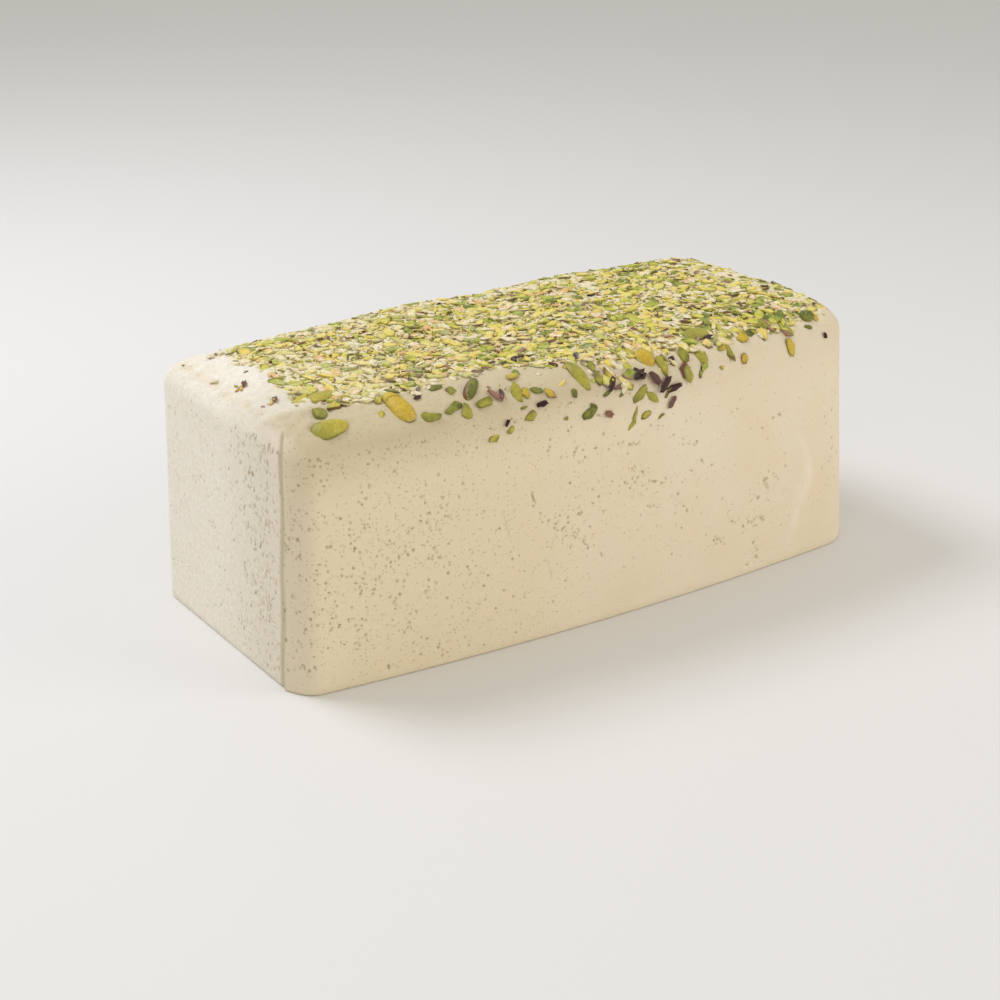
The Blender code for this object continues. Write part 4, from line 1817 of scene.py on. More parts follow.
# The pieces listed one by one, each as in PlacedNut
STRAYS = (
    (Cut.SLICE, (-117.2, -40, 102), 78, 8, 6, 0.2, 0.22),
    (Cut.CHUNK, (-104, -32, 103), 20, 7, 5, 0.4, 0.3),
    (Cut.SLICE, (-109, -37, 103), 24, 9, 4.5, 0.55, 0.5),
    (Cut.SLICE, (-116.5, -25, 103), 40, 9, 4.6, 0.5, 0.45),
    (Cut.SLICE, (-109.5, -28, 103), 35, 11, 6, 0.42, 0.3),
    (Cut.CHUNK, (-101.5, -35, 103), 75, 6.5, 4.6, 0.26, 0.4),
    (Cut.GRIT, (-97, -50, 101), 60, 3.6, 2.6, 0.52, 0.3),
    (Cut.SLIVER, (-86, -36, 103), -83, 13, 1.5, 0.1, 0.5),
    (Cut.CHUNK, (-93, -41, 103), 80, 7.5, 4.5, 0.5, 0.3),
    (Cut.SLICE, (-80, -56, 98), -20, 7.8, 4.6, 0.2, 0.2),
    (Cut.SKIN, (-80, -47, 102), 10, 3.2, 2.4, 0.1, 0.95),
    (Cut.CHUNK, (-70, -44, 104), 5, 6.5, 4, 0.12, 0.8),
    (Cut.CHUNK, (-66, -48, 103), 40, 5, 4.5, 0.2, 0.4),
    (Cut.CHUNK, (-70, -56, 99), 25, 9.5, 4, 0.15, 0.2),
    (Cut.CHUNK, (-65, -58, 98), 100, 6.5, 5, 0.35, 0.2),
    (Cut.CHUNK, (-57, -57, 99), 15, 8, 5, 0.25, 0.3),
    (Cut.SKIN, (-52, -56, 101), 120, 8, 3.4, 0.1, 0.8),
    (Cut.SKIN, (-49, -56, 101), 65, 6.5, 2.6, 0.1, 0.88),
    (Cut.CHUNK, (-39, -49, 104), 10, 7.5, 5.5, 0.5, 0.8),
    (Cut.CHUNK, (-43, -57, 100), 80, 8.5, 4, 0.3, 0.3),
    (Cut.CHUNK, (-35, -58, 100), 0, 6, 4, 0.06, 0.2),
    (Cut.CHUNK, (-39, -58, 100), 60, 5, 4.2, 0.75, 0.3),
    (Cut.CHUNK, (-30, -60, 99), 95, 6.5, 3.6, 0.72, 0.78),
    (Cut.GRIT, (-20, -61, 97), 70, 4.4, 2.8, 0.05, 0.3),
    (Cut.SKIN, (-20, -48, 104), -50, 4.6, 2.4, 0.1, 0.56),
    (Cut.GRIT, (-17, -51, 103), 20, 3.2, 2.6, 0.66, 0.3),
    (Cut.CHUNK, (-5, -53, 103), 60, 7, 4, 0.24, 0.45),
    (Cut.CHUNK, (-7, -59, 100), 80, 6, 3.6, 0.2, 0.45),
    (Cut.CHUNK, (-1, -58, 100), 95, 7, 4, 0.66, 0.52),
    (Cut.SLIVER, (2, -64, 94), 30, 5, 1.6, 0.1, 0.66),
    (Cut.SKIN, (-35, -62, 96), 5, 5.2, 3.2, 0.1, 0.97),
    (Cut.CHUNK, (-40, -63, 93), 30, 6, 4.4, 0.3, 0.6),
    (Cut.SLIVER, (-43, -62, 96), 10, 3.2, 1.2, 0.1, 0.95),
    (Cut.SKIN, (-51, -62, 92), 60, 3.4, 1.8, 0.1, 0.95),
    (Cut.CHUNK, (-49, -63, 89), 20, 3.8, 2.8, 0.44, 0.3),
    (Cut.CHUNK, (-56, -62, 87), 10, 5, 2.8, 0.48, 0.3),
    (Cut.CHUNK, (-14, -64, 89), 35, 8, 5.5, 0.1, 0.1),
    (Cut.CHUNK, (-12, -64, 91), 115, 5.5, 2.4, 0.05, 0.1),
    (Cut.GRIT, (-25, -64, 89), 0, 2.2, 2, 0.35, 0.3),
    (Cut.CHUNK, (15, -49, 104), 85, 9, 4.2, 0.35, 0.3),
    (Cut.CHUNK, (4, -54, 103), 92, 6.5, 3, 0.76, 0.8),
    (Cut.SLICE, (25, -59, 100), 92, 12, 5.5, 0.32, 0.4),
    (Cut.SKIN, (30, -58, 101), 0, 3.2, 2.8, 0.1, 0.96),
    (Cut.CHUNK, (36, -58, 101), 85, 7.5, 5.5, 0.18, 0.5),
    (Cut.CHUNK, (34, -63, 96), 95, 8.5, 6, 0.3, 0.6),
    (Cut.CHUNK, (44, -60, 100), 95, 8.5, 5.5, 0.32, 0.45),
    (Cut.SLIVER, (41, -63, 95), 80, 5, 2.2, 0.2, 0.6),
    (Cut.SKIN, (12, -61, 98), 25, 7.5, 5, 0.1, 0.94),
    (Cut.SKIN, (18, -62, 96), 115, 7, 4.5, 0.1, 0.87),
    (Cut.CHUNK, (11, -64, 92), 30, 9, 4.6, 0.24, 0.6),
    (Cut.CHUNK, (16, -64, 90), 140, 7, 3.4, 0.32, 0.6),
    (Cut.SKIN, (22, -64, 94), 45, 9, 4, 0.1, 0.89),
    (Cut.SKIN, (27, -64, 92), 15, 8, 3.4, 0.1, 0.94),
    (Cut.SLIVER, (24, -64, 90), 60, 8, 1.8, 0.1, 0.8),
    (Cut.SKIN, (26, -64, 86), 65, 6, 3.2, 0.1, 0.86),
    (Cut.SLIVER, (8, -64, 84), 70, 8, 2.2, 0.36, 0.6),
    (Cut.SLIVER, (6, -64, 80), 50, 6, 1.8, 0.34, 0.6),
    (Cut.CHUNK, (13, -64, 83), 20, 5, 3.2, 0.45, 0.4),
    (Cut.SLIVER, (21, -64, 81), 30, 4, 1.4, 0.1, 0.84),
    (Cut.SKIN, (-5, -64, 87), -30, 5, 3.4, 0.1, 0.7),
    (Cut.SKIN, (-2, -62, 98), 50, 8, 3, 0.1, 0.94),
    (Cut.SKIN, (1, -62, 96), 10, 6.5, 2.6, 0.1, 0.86),
    (Cut.SLIVER, (-5, -63, 95), 20, 5, 1.3, 0.1, 0.95),
    (Cut.SLIVER, (31, -53, 103), -25, 10.5, 1.5, 0.1, 0.78),
    (Cut.SKIN, (53, -53, 104), 0, 5.5, 2.8, 0.1, 0.92),
    (Cut.CHUNK, (68, -55, 102), 30, 6.5, 6, 0.68, 0.76),
    (Cut.SLICE, (74, -54, 103), 0, 7, 4, 0.06, 0.1),
    (Cut.CHUNK, (56, -58, 101), 10, 5.2, 3.4, 0.78, 0.3),
    (Cut.CHUNK, (58, -60, 99), 92, 7.5, 3.4, 0.22, 0.4),
    (Cut.CHUNK, (64, -62, 96), 40, 4.4, 4, 0.76, 0.7),
    (Cut.GRIT, (52, -63, 95), 0, 2.2, 2, 0.7, 0.3),
    (Cut.CHUNK, (83, -51, 104), 20, 6.8, 6, 0.18, 0.6),
    (Cut.CHUNK, (86, -53, 103), 92, 7.5, 3.6, 0.2, 0.76),
    (Cut.CHUNK, (93, -55, 102), 60, 7.5, 6, 0.3, 0.78),
    (Cut.SLICE, (91, -60, 96), 95, 7.6, 5.2, 0.7, 0.4),
    (Cut.SLICE, (108, -50, 104), 20, 7.5, 7, 0.1, 0.3),
    (Cut.CHUNK, (112, -51, 103), 70, 5, 4, 0.78, 0.3),
    (Cut.SLIVER, (105, -55, 101), -30, 4.5, 2.2, 0.1, 0.76),
    (Cut.SKIN, (112, -58, 97), 90, 3, 2, 0.1, 0.95),
    (Cut.SKIN, (-125.6, 1.6, 101), 62, 7, 2.6, 0.1, 0.64),
    (Cut.CHUNK, (-127.2, 0.4, 101), 60, 5.4, 2.8, 0.88, 0.76),
    (Cut.GRIT, (-129.4, 0.4, 101), 40, 4, 2.6, 0.96, 0.72),
    (Cut.SKIN, (-124.6, -20.4, 101), 62, 7, 2.6, 0.1, 0.62),
    (Cut.CHUNK, (-126.4, -21.2, 101), 60, 5.6, 3, 0.88, 0.76),
    (Cut.GRIT, (-128.6, -21.6, 101), 40, 4.2, 2.8, 0.96, 0.72),
    (Cut.GRIT, (-128, 4, 101), 50, 2.6, 1.6, 0.5, 0.3),
    (Cut.GRIT, (-126, -17, 101), 50, 2.6, 1.6, 0.5, 0.3),
    (Cut.GRIT, (-119, 14, 103), 10, 3, 1.6, 0.02, 0.1),
    (Cut.GRIT, (-131, 45, 100), 80, 4, 1.6, 0.3, 0.1),
)


@dataclass
class NutCover:
    """The chopped pistachios pressed into the top."""

    form: LoafForm
    finish: NutFinish
    stray_finish: NutFinish
    halva: Object
    kernels: list[tuple[Vector, float]] = field(default_factory=list)
    seed: int = 21
    # The nuts' edge on the front: X, and the way round the shoulder from the top's middle line
    front_edge: tuple[Pair, ...] = (
        (-0.1240, 0.0300), (-0.1100, 0.0360), (-0.0800, 0.0465), (-0.0600, 0.0520),
        (-0.0400, 0.0625), (0.0000, 0.0710), (0.0180, 0.0810), (0.0400, 0.0730),
        (0.0620, 0.0610), (0.0900, 0.0630), (0.1100, 0.0570), (0.1240, 0.0480),
    )
    # Where the cover starts to thin out, in the same measures
    dense_edge: tuple[Pair, ...] = (
        (-0.1150, 0.0240), (-0.1060, 0.0370), (-0.0920, 0.0375), (-0.0670, 0.0355),
        (-0.0430, 0.0345), (-0.0290, 0.0390), (-0.0150, 0.0460), (0.0000, 0.0530),
        (0.0400, 0.0560), (0.0980, 0.0540), (0.1240, 0.0460),
    )
    back_edge: float = 0.0660
    # The nuts' edge at the left end: Y, then X
    left_edge: tuple[Pair, ...] = (
        (-0.0400, -0.1210), (-0.0200, -0.1240), (0.0000, -0.1190), (0.0220, -0.1175),
        (0.0420, -0.1210), (0.0600, -0.1080),
    )
    right_edge: float = 0.1235
    crumb_warmth: float = 0.8  # the halva crumbs' colour, between its inside and its rind
    crumb_stain: float = 0.7  # and how much of the nuts' dust, with its painted gap shade, is on them
    sunk: float = 0.5 * MM  # how much deeper the nuts lie at the back and right edges
    dusted: float = 0.92  # the most that the nuts' dust, with its painted gap shade, hides of the halva
    thin_front: float = 0.90  # how much of the cover is gone at its front edge
    ragged: tuple[Pair, ...] = ((1.2 * MM, 7 * MM), (0.8 * MM, 3 * MM))  # how its edges stray
    patchy: Pair = (0.80, 0.50)  # how thick the cover is, and how far that varies
    patch_size: float = 13 * MM
    shoulder_shade_strength: Pair = (1.25, 0.3)  # how strong the shoulder's painted shade is, and how far that varies
    shoulder_shade_starts: Pair = (28 * MM, 38 * MM)  # its place round the shoulder, from the top's middle line
    shoulder_shade_ends: Pair = (90 * MM, 56 * MM)
    flick: Size = (5 * MM, 4 * MM, 0)  # how far crumbs fall past the cover's edge
    skin_patch: float = 11 * MM
    kind_sharp: float = math.radians(48)  # the least angle of an edge that shows as sharp
    stray_sharp: float = math.radians(32)
    stray_thickness: Size = (0.8, 0.28, 1.6)  # least, as a share of the width, most
    stray_growth: Pair = (1.04, 1.0)  # of the lengths and widths below
    flake_growth: Pair = (0.86, 0.78)  # and those of skins
    flake_thickness: float = 0.3 * MM
    stray_tilt: float = 0.10  # radians
    stray_bumps: float = 0.30 * MM
    kinds: tuple[NutKind, ...] = (
        NutKind(Cut.GRIT, 2.6, 0.30, (2.2, 4.8), (0.40, 0.80), (0.8, 1.3), (-0.42, 0.10), 0.26, 11, 24),
        NutKind(Cut.CHUNK, 3.7, 0.16, (4.4, 8.6), (0.42, 0.75), (1.1, 1.8), (-0.32, 0.18), 0.15, 202, 40),
        NutKind(Cut.SLICE, 6.6, 0.04, (6.0, 10.5), (0.42, 0.64), (1.1, 1.7), (-0.08, 0.32), 0.10, 101, 24),
        NutKind(Cut.SLIVER, 4.6, 0.08, (3.8, 9.0), (0.14, 0.28), (0.6, 1.1), (0.00, 0.40), 0.12, 303, 16),
        NutKind(Cut.SKIN, 3.3, 0.10, (1.5, 4.4), (0.25, 0.50), (0.18, 0.24), (0.25, 0.70), 0.20, 404, 14),
        NutKind(Cut.CRUMB, 2.7, 0.20, (0.7, 1.9), (0.6, 1.0), (0.5, 1.0), (0.10, 0.70), 0.8, 505, 10),
        NutKind(Cut.HALVA, 4.8, 0.09, (2.6, 8.0), (0.40, 0.75), (0.8, 1.3), (0.10, 0.55), 0.12, 606, 16),
    )
    strays: tuple[PlacedNut, ...] = tuple(PlacedNut(*row) for row in STRAYS)

    def build(self) -> list[Object]:
        """Builds and dresses every kind of piece.

        Returns:
            The pieces, one for each kind.
        """
        surface = LoafSurface(self.form, top_face_size=2.0 * MM)
        seat = new_piece("nut_seat", surface.mesh("nut_seat", surface.patches()))
        self._spread_cover(seat.data)
        self._stain(self.halva.data)
        tree = ScatterTree()
        nut, halva = self.finish.material(), self.halva.data.materials[0]
        pieces = []
        for kind in self.kinds:
            loose = self._variants(kind)
            finish, slot = (halva, "halva") if kind.cut is Cut.HALVA else (nut, "pistachio")
            values = {
                "Pieces": loose,
                "Finish": finish,
                "Cover": kind.cover,
                "Spacing": kind.spacing * MM,
                "Crowding": kind.crowding / MM**2,
                "Tilt": kind.tilt,
                "Lowest": kind.height[0] * MM,
                "Highest": kind.height[1] * MM,
                "Seed": kind.seed,
            }
            mesh = tree.run(seat, values)
            mesh.name = kind.cut.value
            if finish is halva:
                shares = {"moulded": self.crumb_warmth, "dusted": self.crumb_stain}
                add_attributes(mesh, {name: np.full(len(mesh.vertices), s) for name, s in shares.items()})
            piece = new_piece(kind.cut.value, mesh)
            dress(piece, finish)
            settle_in(piece, slot, "halva_loaf")
            pieces.append(piece)
            for obj in list(loose.objects):
                bpy.data.meshes.remove(obj.data)
            bpy.data.collections.remove(loose)
        pieces.append(self._lay_strays(seat))
        bpy.data.objects.remove(seat)
        bpy.data.node_groups.remove(tree.tree)
        return pieces

    def _lay_strays(self, seat: Object) -> Object:
        """Cuts the strays and presses each into the halva where it lies.

        Args:
            seat: The surface that they lie on.

        Returns:
            All of them as one piece.
        """
        surface = bmesh.new()
        surface.from_mesh(seat.data)
        tree = BVHTree.FromBMesh(surface)
        surface.free()
        rng = random.Random(self.seed)
        cutter = NutCutter(rng)
        joined = bmesh.new()
        layers = {name: joined.verts.layers.float.new(name) for name in ("rim", "tone", "skin")}
        for stray in self.strays:
            is_flake = stray.cut is Cut.SKIN
            longer, wider = self.flake_growth if is_flake else self.stray_growth
            length, width = stray.length * MM * longer, stray.width * MM * wider
            least, share, most = self.stray_thickness
            thickness = self.flake_thickness if is_flake else min(most * MM, max(least * MM, width * share))
            piece = cutter.cut(stray.cut, (length, width, thickness))
            if not is_flake:
                self._roughen(piece, self.stray_bumps, stray.turn)
            here, out, *_ = tree.find_nearest(Vector(stray.place) * MM)
            across = Vector((1, 0, 0)) - out * out.x
            across.normalize()
            facing = Matrix((across, out.cross(across), out)).transposed()
            turn = Matrix.Rotation(math.radians(stray.turn), 3, "Z")
            tilt = Euler((rng.gauss(0, self.stray_tilt), rng.gauss(0, self.stray_tilt), 0)).to_matrix()
            lift = out * (self.flake_thickness if is_flake else thickness * 0.12)
            rim = piece.verts.layers.float["rim"]
            made = {}
            for vert in piece.verts:
                copy = joined.verts.new(facing @ turn @ tilt @ vert.co + here + lift)
                copy[layers["rim"]] = vert[rim]
                copy[layers["tone"]], copy[layers["skin"]] = stray.tone, stray.skin
                made[vert] = copy
            for face in piece.faces:
                joined.faces.new([made[vert] for vert in face.verts])
            piece.free()
        mesh = finish_mesh(joined, "strays")
        piece = new_piece("strays", mesh)
        mesh.shade_smooth()
        mesh.set_sharp_from_angle(angle=self.stray_sharp)
        dress(piece, self.stray_finish.material())
        settle_in(piece, "pistachio", "halva_loaf")
        return piece

    @staticmethod
    def _roughen(piece: BMesh, bumps: float, seed: float) -> None:
        """Divides a piece's faces and makes it uneven, as chopped flesh is.

        Args:
            piece: The piece.
            bumps: How high its bumps are.
            seed: Moves their pattern.
        """
        bmesh.ops.subdivide_edges(piece, edges=piece.edges[:], cuts=1, smooth=0.12, use_grid_fill=True)
        bmesh.ops.triangulate(piece, faces=piece.faces[:])
        relief = lumps(np.array([vert.co for vert in piece.verts]), 1.3 * MM, seed)
        piece.normal_update()
        for vert, rise in zip(piece.verts, relief):
            vert.co += vert.normal * rise * bumps

    def _variants(self, kind: NutKind) -> Collection:
        """Cuts the variants of one kind.

        Args:
            kind: The kind.

        Returns:
            Them in a collection that isn't part of the scene.
        """
        rng = random.Random(self.seed + kind.seed)
        cutter = NutCutter(rng)
        loose = bpy.data.collections.new(f"loose_{kind.cut.value}")
        for number in range(kind.variants):
            (least, most), (thinnest, thickest) = ((a * MM, b * MM) for a, b in (kind.length, kind.thickness))
            length = least + (most - least) * rng.random() ** 1.4
            width = length * rng.uniform(*kind.slenderness)
            bm = cutter.cut(kind.cut, (length, width, rng.uniform(thinnest, thickest)))
            mesh = finish_mesh(bm, f"{kind.cut.value}_{number}")
            if kind.smooth:
                mesh.shade_smooth()
                mesh.set_sharp_from_angle(angle=self.kind_sharp)
            else:
                mesh.shade_flat()
            loose.objects.link(bpy.data.objects.new(mesh.name, mesh))
        return loose

    def _cover(self, points: Array) -> tuple[Array, Array]:
        """How densely the nuts lie.

        Args:
            points: Points of the loaf's surface.

        Returns:
            For each point the cover from 0 to 1, and the way round the shoulder from the middle line.
        """
        x, y, _ = points.T
        girth = np.abs(y) + self.form.drop(points)
        edge_x, edge_girth = np.array(self.front_edge).T
        ragged = sum(far * lumps(points, size, seed) for seed, (far, size) in enumerate(self.ragged, 4))
        front = np.interp(x, edge_x, edge_girth) + ragged * 1.5
        dense_x, dense_girth = np.array(self.dense_edge).T
        dense = np.minimum(np.interp(x, dense_x, dense_girth) + ragged, front - 2 * MM)
        thinning = 1 - self.thin_front * smooth_step(0, 5 * MM, girth - dense)
        on_front = np.where(girth < front, np.where(girth < dense, 1.0, thinning), 0.0)
        on_back = smooth_step(self.back_edge + 2 * MM, self.back_edge - 6 * MM, girth + ragged * 2)
        left_y, left_x = np.array(self.left_edge).T
        on_left = smooth_step(0, 9 * MM, x - np.interp(y, left_y, left_x) + ragged * 2)
        on_right = smooth_step(3 * MM, 0, x - self.right_edge + ragged * 2)
        patchy = self.patchy[0] + self.patchy[1] * lumps(points, self.patch_size, 6)
        return np.where(y < 0, on_front, on_back) * on_left * on_right * patchy, girth

    def _stain(self, mesh: Mesh) -> None:
        """Stores where the nuts' dust stains the halva between them, with painted shade in the gaps, and
        where shade is painted on the front shoulder beside them.

        Args:
            mesh: The halva's mesh.
        """
        points = vectors_of(mesh)
        dusted = np.zeros(len(points))
        high = self.form.drop(points) < 30 * MM
        cover, _ = self._cover(points[high])
        # The nuts' dust, and painted shade in the gaps between them.
        dusted[high] = self.dusted * smooth_step(0.0, 0.75, cover)
        x, y, _ = points.T
        girth = np.abs(y) + self.form.drop(points)
        # Shade is painted on the front shoulder, in a band round it beside the nuts, fading towards the
        # right.
        oily = smooth_step(*self.shoulder_shade_starts, girth) * smooth_step(*self.shoulder_shade_ends, girth)
        oily *= smooth_step(-0.138, -0.128, x) * (1 - 0.7 * smooth_step(0.0, 0.07, x))
        oily *= smooth_step(-0.008, -0.035, y) * smooth_step(0.138, 0.126, x)
        oily *= self.shoulder_shade_strength[0] + self.shoulder_shade_strength[1] * lumps(points, 9 * MM, 12)
        add_attributes(mesh, {"dusted": dusted, "oily": oily})

    def _spread_cover(self, mesh: Mesh) -> None:
        """Stores how densely each kind lies at each point of the surface, from 0 to 1.

        Args:
            mesh: The surface, which this also sinks a little where the nuts lie deeper.
        """
        points, normals = vectors_of(mesh), vectors_of(mesh, "normal")
        cover, girth = self._cover(points)
        for place, reach in self.kernels:
            cover *= np.linalg.norm(points - np.array(place), axis=1) > reach
        beyond, _ = self._cover(points + np.array(self.flick))
        skins = cover * smooth_step(-0.35, 0.30, lumps(points, self.skin_patch, 9))
        skins *= 0.75 + 0.6 * smooth_step(0.01, -0.03, points[:, 1])
        near_left = smooth_step(-0.100, -0.120, points[:, 0])
        bare_left = near_left * smooth_step(5 * MM, 1 * MM, self.form.drop(points))
        at_edge = smooth_step(38 * MM, 50 * MM, girth) * (points[:, 1] > 0)
        at_edge = np.maximum(at_edge, smooth_step(0.105, 0.122, points[:, 0]))
        move_points(mesh, points - normals * (at_edge * self.sunk)[:, None])
        covers = {
            "slices": cover * (girth < 0.056),
            "chunks": cover * 1.2,
            "crumbs": np.maximum(cover, 0.30 * beyond),
            "skins": skins,
            "halva_crumbs": 1.6 * cover * (1.1 - cover) + 0.08 * bare_left + 0.15 * beyond,
        }
        add_attributes(mesh, {name: np.clip(values, 0, 1) for name, values in covers.items()})


@dataclass(frozen=True)
class KernelLook:
    """How one whole or half kernel looks."""

    node: str
    tone: float  # of its flesh at one end
    far_tone: float  # and at the other
    skin: float
    skin_from: float  # where the skin starts, from the middle of its top, 0, to its side, 1
    crack: float | None = None  # how far along it is cracked across, from -1 to 1
    widen: float = 1.0
    lengthen: float = 1.0
    blunt: float = 1.0  # below 1 its ends are blunter
    taper: float = 0.0  # how much narrower its far end is
    skin_shift: float = 0.0  # how far its skin lies towards one side


@dataclass
class Kernels:
    """The whole and half kernels that stand out of the cover."""

    finish: NutFinish
    looks: tuple[KernelLook, ...] = (
        KernelLook("kernel_1", 0.22, 0.60, 0.22, 0.84, widen=1.15, lengthen=0.98, blunt=0.85, taper=0.24),
        KernelLook("kernel_2", 0.70, 0.80, 0.38, 0.90, -0.34, 1.02, blunt=0.72, taper=-0.28),
        KernelLook("kernel_3", 0.40, 0.34, 0.60, 0.88),
        KernelLook("kernel_4", 0.06, 0.14, 0.60, 0.84, widen=0.74, blunt=0.85, skin_shift=0.35),
        KernelLook("kernel_5", 0.22, 0.40, 0.60, 0.84),
        KernelLook("kernel_6", 0.78, 0.76, 0.35, 0.90),
        KernelLook("kernel_7", 0.20, 0.40, 0.60, 0.84),
    )
    grow: float = 1.045  # makes up for what smoothing takes off
    lift: float = 0.60 * MM
    clear: float = 0.36  # how far round it the cover stays clear, as a share of its length
    skin_fade: float = 0.12  # half the width of the skin's soft edge
    crack_width: float = 0.06  # half of it, as a share of half the kernel
    crack_depth: float = 0.34

    def places(self) -> list[tuple[Vector, float]]:
        """Where the kernels lie.

        Returns:
            Each kernel's middle, and how far round it the cover stays clear.
        """
        found = []
        for look in self.looks:
            low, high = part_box(look.node)
            found.append(((low + high) / 2, (high - low).length * self.clear))
        return found

    def build(self) -> list[Object]:
        """Builds and dresses the kernels.

        Returns:
            The pieces.
        """
        material = self.finish.material()
        pieces = []
        for number, look in enumerate(self.looks):
            piece = new_piece(f"nut_{look.node}", self._mesh(look, number))
            dress(piece, material)
            settle_in(piece, "pistachio", look.node)
            pieces.append(piece)
        return pieces

    def _mesh(self, look: KernelLook, number: int) -> Mesh:
        """A smoother kernel with its grain, its crack and the attributes for its colours.

        Args:
            look: How it looks.
            number: Its number, which gives its grain.

        Returns:
            The mesh.
        """
        bm = bmesh.new()
        bm.from_mesh(frame["nodes"][look.node].data)
        bmesh.ops.remove_doubles(bm, verts=bm.verts[:], dist=1e-6)
        helper = new_piece("kernel_helper", finish_mesh(bm, look.node))
        smoother = helper.modifiers.new("smooth", "SUBSURF")
        smoother.levels = smoother.render_levels = 2
        graph = bpy.context.evaluated_depsgraph_get()
        mesh = bpy.data.meshes.new_from_object(helper.evaluated_get(graph))
        bpy.data.objects.remove(helper)
        points = vectors_of(mesh)
        centre = points.mean(axis=0)
        local, axes = self._own_axes(points - centre)
        half = np.abs(local).max(axis=0)
        unit = local / half
        relief = 0.020 * lumps(np.column_stack([unit[:, 0] * 0.4, unit[:, 1:] * 1.6]), 0.55, number)
        relief += 0.012 * lumps(unit, 0.30, number + 9)
        grown = unit * (self.grow + relief)[:, None]
        blunted = np.sqrt(np.clip(1 - np.abs(unit[:, 0]) ** (2 / look.blunt), 0.02, 1))
        slimmed = np.sqrt(np.clip(1 - unit[:, 0] ** 2, 0.02, 1))
        grown[:, 1:] *= (blunted / slimmed)[:, None]
        grown[:, 1] *= look.widen * (1 - look.taper * unit[:, 0])
        grown[:, 0] *= look.lengthen
        sideways = self._sideways(unit + np.array((0, look.skin_shift, 0)))
        dark = smooth_step(look.skin_from - self.skin_fade, look.skin_from + self.skin_fade, sideways)
        if look.crack is not None:
            line = look.crack + 0.06 * np.sin(unit[:, 1] * 4)
            crack = np.clip(1 - np.abs(unit[:, 0] - line) / self.crack_width, 0, 1)
            grown[:, 2] -= self.crack_depth * crack * (unit[:, 2] > -0.2)
            # The crack is painted with the skin's dark colour: painted shade in its groove.
            dark = np.maximum(dark, 1.20 * crack)
        lifted = grown * half + np.array((0, 0, self.lift))
        move_points(mesh, lifted @ axes + centre)
        mesh.shade_smooth()
        tone = look.tone + (look.far_tone - look.tone) * (unit[:, 0] + 1) / 2
        add_attributes(mesh, {"tone": tone, "skin": np.full(len(points), look.skin), "rim": dark})
        return mesh

    @staticmethod
    def _sideways(unit: Array) -> Array:
        """How far each point lies from the middle of the kernel's top, 0, towards its side, 1."""
        across = np.hypot(unit[:, 0] * 0.92, unit[:, 1])
        return np.where(unit[:, 2] < 0, 1.2, across)

    @staticmethod
    def _own_axes(offsets: Array) -> tuple[Array, Array]:
        """Turns offsets to the kernel's own axes: along it, across it and out of the halva.

        Args:
            offsets: Offsets from its middle.

        Returns:
            The offsets along those axes, and the axes as rows.
        """
        _, vectors = np.linalg.eigh(offsets.T @ offsets)
        axes = vectors.T[::-1].copy()
        if axes[0, 0] < 0:
            axes[0] = -axes[0]
        if axes[2, 2] < 0:
            axes[2] = -axes[2]
        axes[1] = np.cross(axes[2], axes[0])
        return offsets @ axes.T, axes


# The studio


@dataclass(frozen=True)
class Lamp:
    """A soft lamp that faces the loaf, from an azimuth and elevation in degrees."""

    name: str
    azimuth: float
    elevation: float
    distance: float
    size: float
    power: float
    colour: str


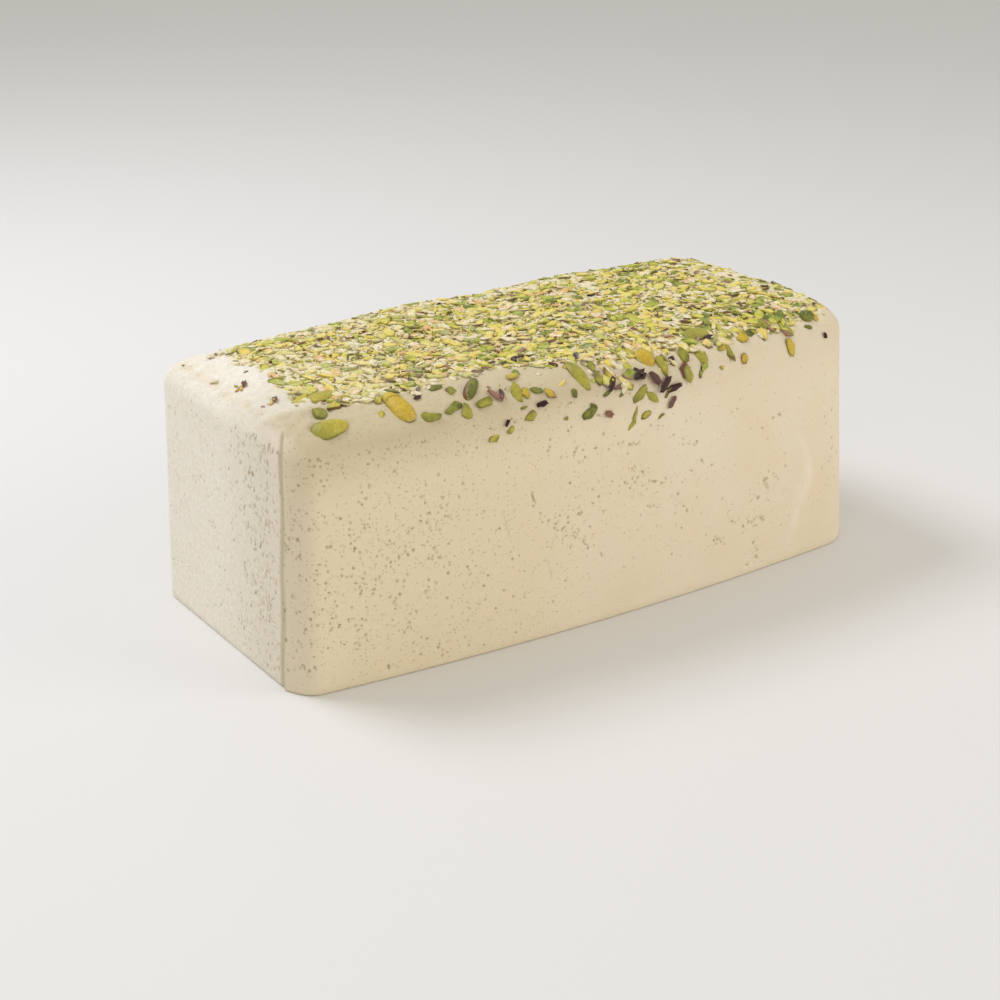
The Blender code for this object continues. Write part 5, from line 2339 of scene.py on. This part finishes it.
@dataclass
class Studio:
    """A pale floor, soft light and the camera."""

    target: Vector = field(default_factory=lambda: Vector((-0.0121, 0.0, 0.0312)))
    azimuth: float = -33.75
    elevation: float = 22.15
    distance: float = 0.7697
    lens: float = 65.95  # millimetres, on a sensor 36 wide
    floor_size: float = 8.0
    sky: str = "#FAF8F4"
    sky_strength: float = 0.68
    lamps: tuple[Lamp, ...] = (
        Lamp("key", -145, 55, 1.3, 0.6, 9.3, "#EEF3FF"),
        Lamp("fill", 42, 22, 1.3, 0.9, 4.3, "#FFFAF4"),
        Lamp("corner", -40, 16, 1.2, 0.7, 1.7, "#FFF8F0"),
    )

    def _place(self, obj: Object, azimuth: float, elevation: float, distance: float) -> None:
        """Puts a lamp or a camera in the scene, facing the loaf.

        Args:
            obj: The lamp or camera.
            azimuth: The azimuth it stands at, in degrees.
            elevation: And the elevation.
            distance: How far away it stands.
        """
        turn, rise = math.radians(azimuth), math.radians(elevation)
        back = Vector((math.sin(turn) * math.cos(rise), -math.cos(turn) * math.cos(rise), math.sin(rise)))
        obj.location = self.target + back * distance
        obj.rotation_euler = back.to_track_quat("Z", "Y").to_euler()
        bpy.context.scene.collection.objects.link(obj)

    def build(self) -> None:
        """Builds the floor, the light and the camera."""
        bm = bmesh.new()
        bmesh.ops.create_grid(bm, x_segments=1, y_segments=1, size=self.floor_size / 2)
        floor = new_piece("floor", finish_mesh(bm, "floor"))
        dress(floor, FloorFinish().material())
        floor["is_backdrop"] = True
        world = bpy.data.worlds.new("sky")
        bpy.context.scene.world = world
        world.use_nodes = True
        background = world.node_tree.nodes["Background"]
        background.inputs["Color"].default_value = linear(self.sky)
        background.inputs["Strength"].default_value = self.sky_strength
        for lamp in self.lamps:
            self._lamp(lamp)
        self._camera()
        bpy.context.scene.view_settings.view_transform = "Standard"

    def _lamp(self, lamp: Lamp) -> None:
        """Hangs one lamp, facing the loaf.

        Args:
            lamp: The lamp.
        """
        light = bpy.data.lights.new(lamp.name, "AREA")
        light.shape = "DISK"
        light.size = lamp.size
        light.energy = lamp.power
        light.color = linear(lamp.colour)[:3]
        obj = bpy.data.objects.new(lamp.name, light)
        self._place(obj, lamp.azimuth, lamp.elevation, lamp.distance)

    def _camera(self) -> None:
        """Sets up the camera."""
        camera = bpy.data.objects.new("camera", bpy.data.cameras.new("camera"))
        camera.data.lens = self.lens
        self._place(camera, self.azimuth, self.elevation, self.distance)
        bpy.context.scene.camera = camera


def corners(bounds: tuple[Vector, Vector]) -> list[list[float]]:
    """A box's two corners as plain lists."""
    return [list(corner) for corner in bounds]


def main() -> None:
    """Builds the halva, the nuts and the studio."""
    logging.basicConfig(level=logging.INFO, format="%(message)s")
    cad_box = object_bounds()
    low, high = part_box("halva_loaf")
    form = LoafForm(length=high.x - low.x)
    block = HalvaBlock(form, HalvaFinish()).build()
    single = {"flesh": WHOLE_FLESH, "drift": 0.0, "paling": 0.0, "dusted": 0.0}
    whole = NutFinish(mottle=0.35, name="whole_pistachio_kernel", **single)
    strays = NutFinish(under_skin="#6E7230", name="loose_chopped_pistachio", **single)
    kernels = Kernels(whole)
    NutCover(form, NutFinish(), strays, block, kernels.places()).build()
    kernels.build()
    Studio().build()
    {"cad": corners(cad_box), "visual": corners(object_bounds())}


if __name__ == "__main__":
    main()
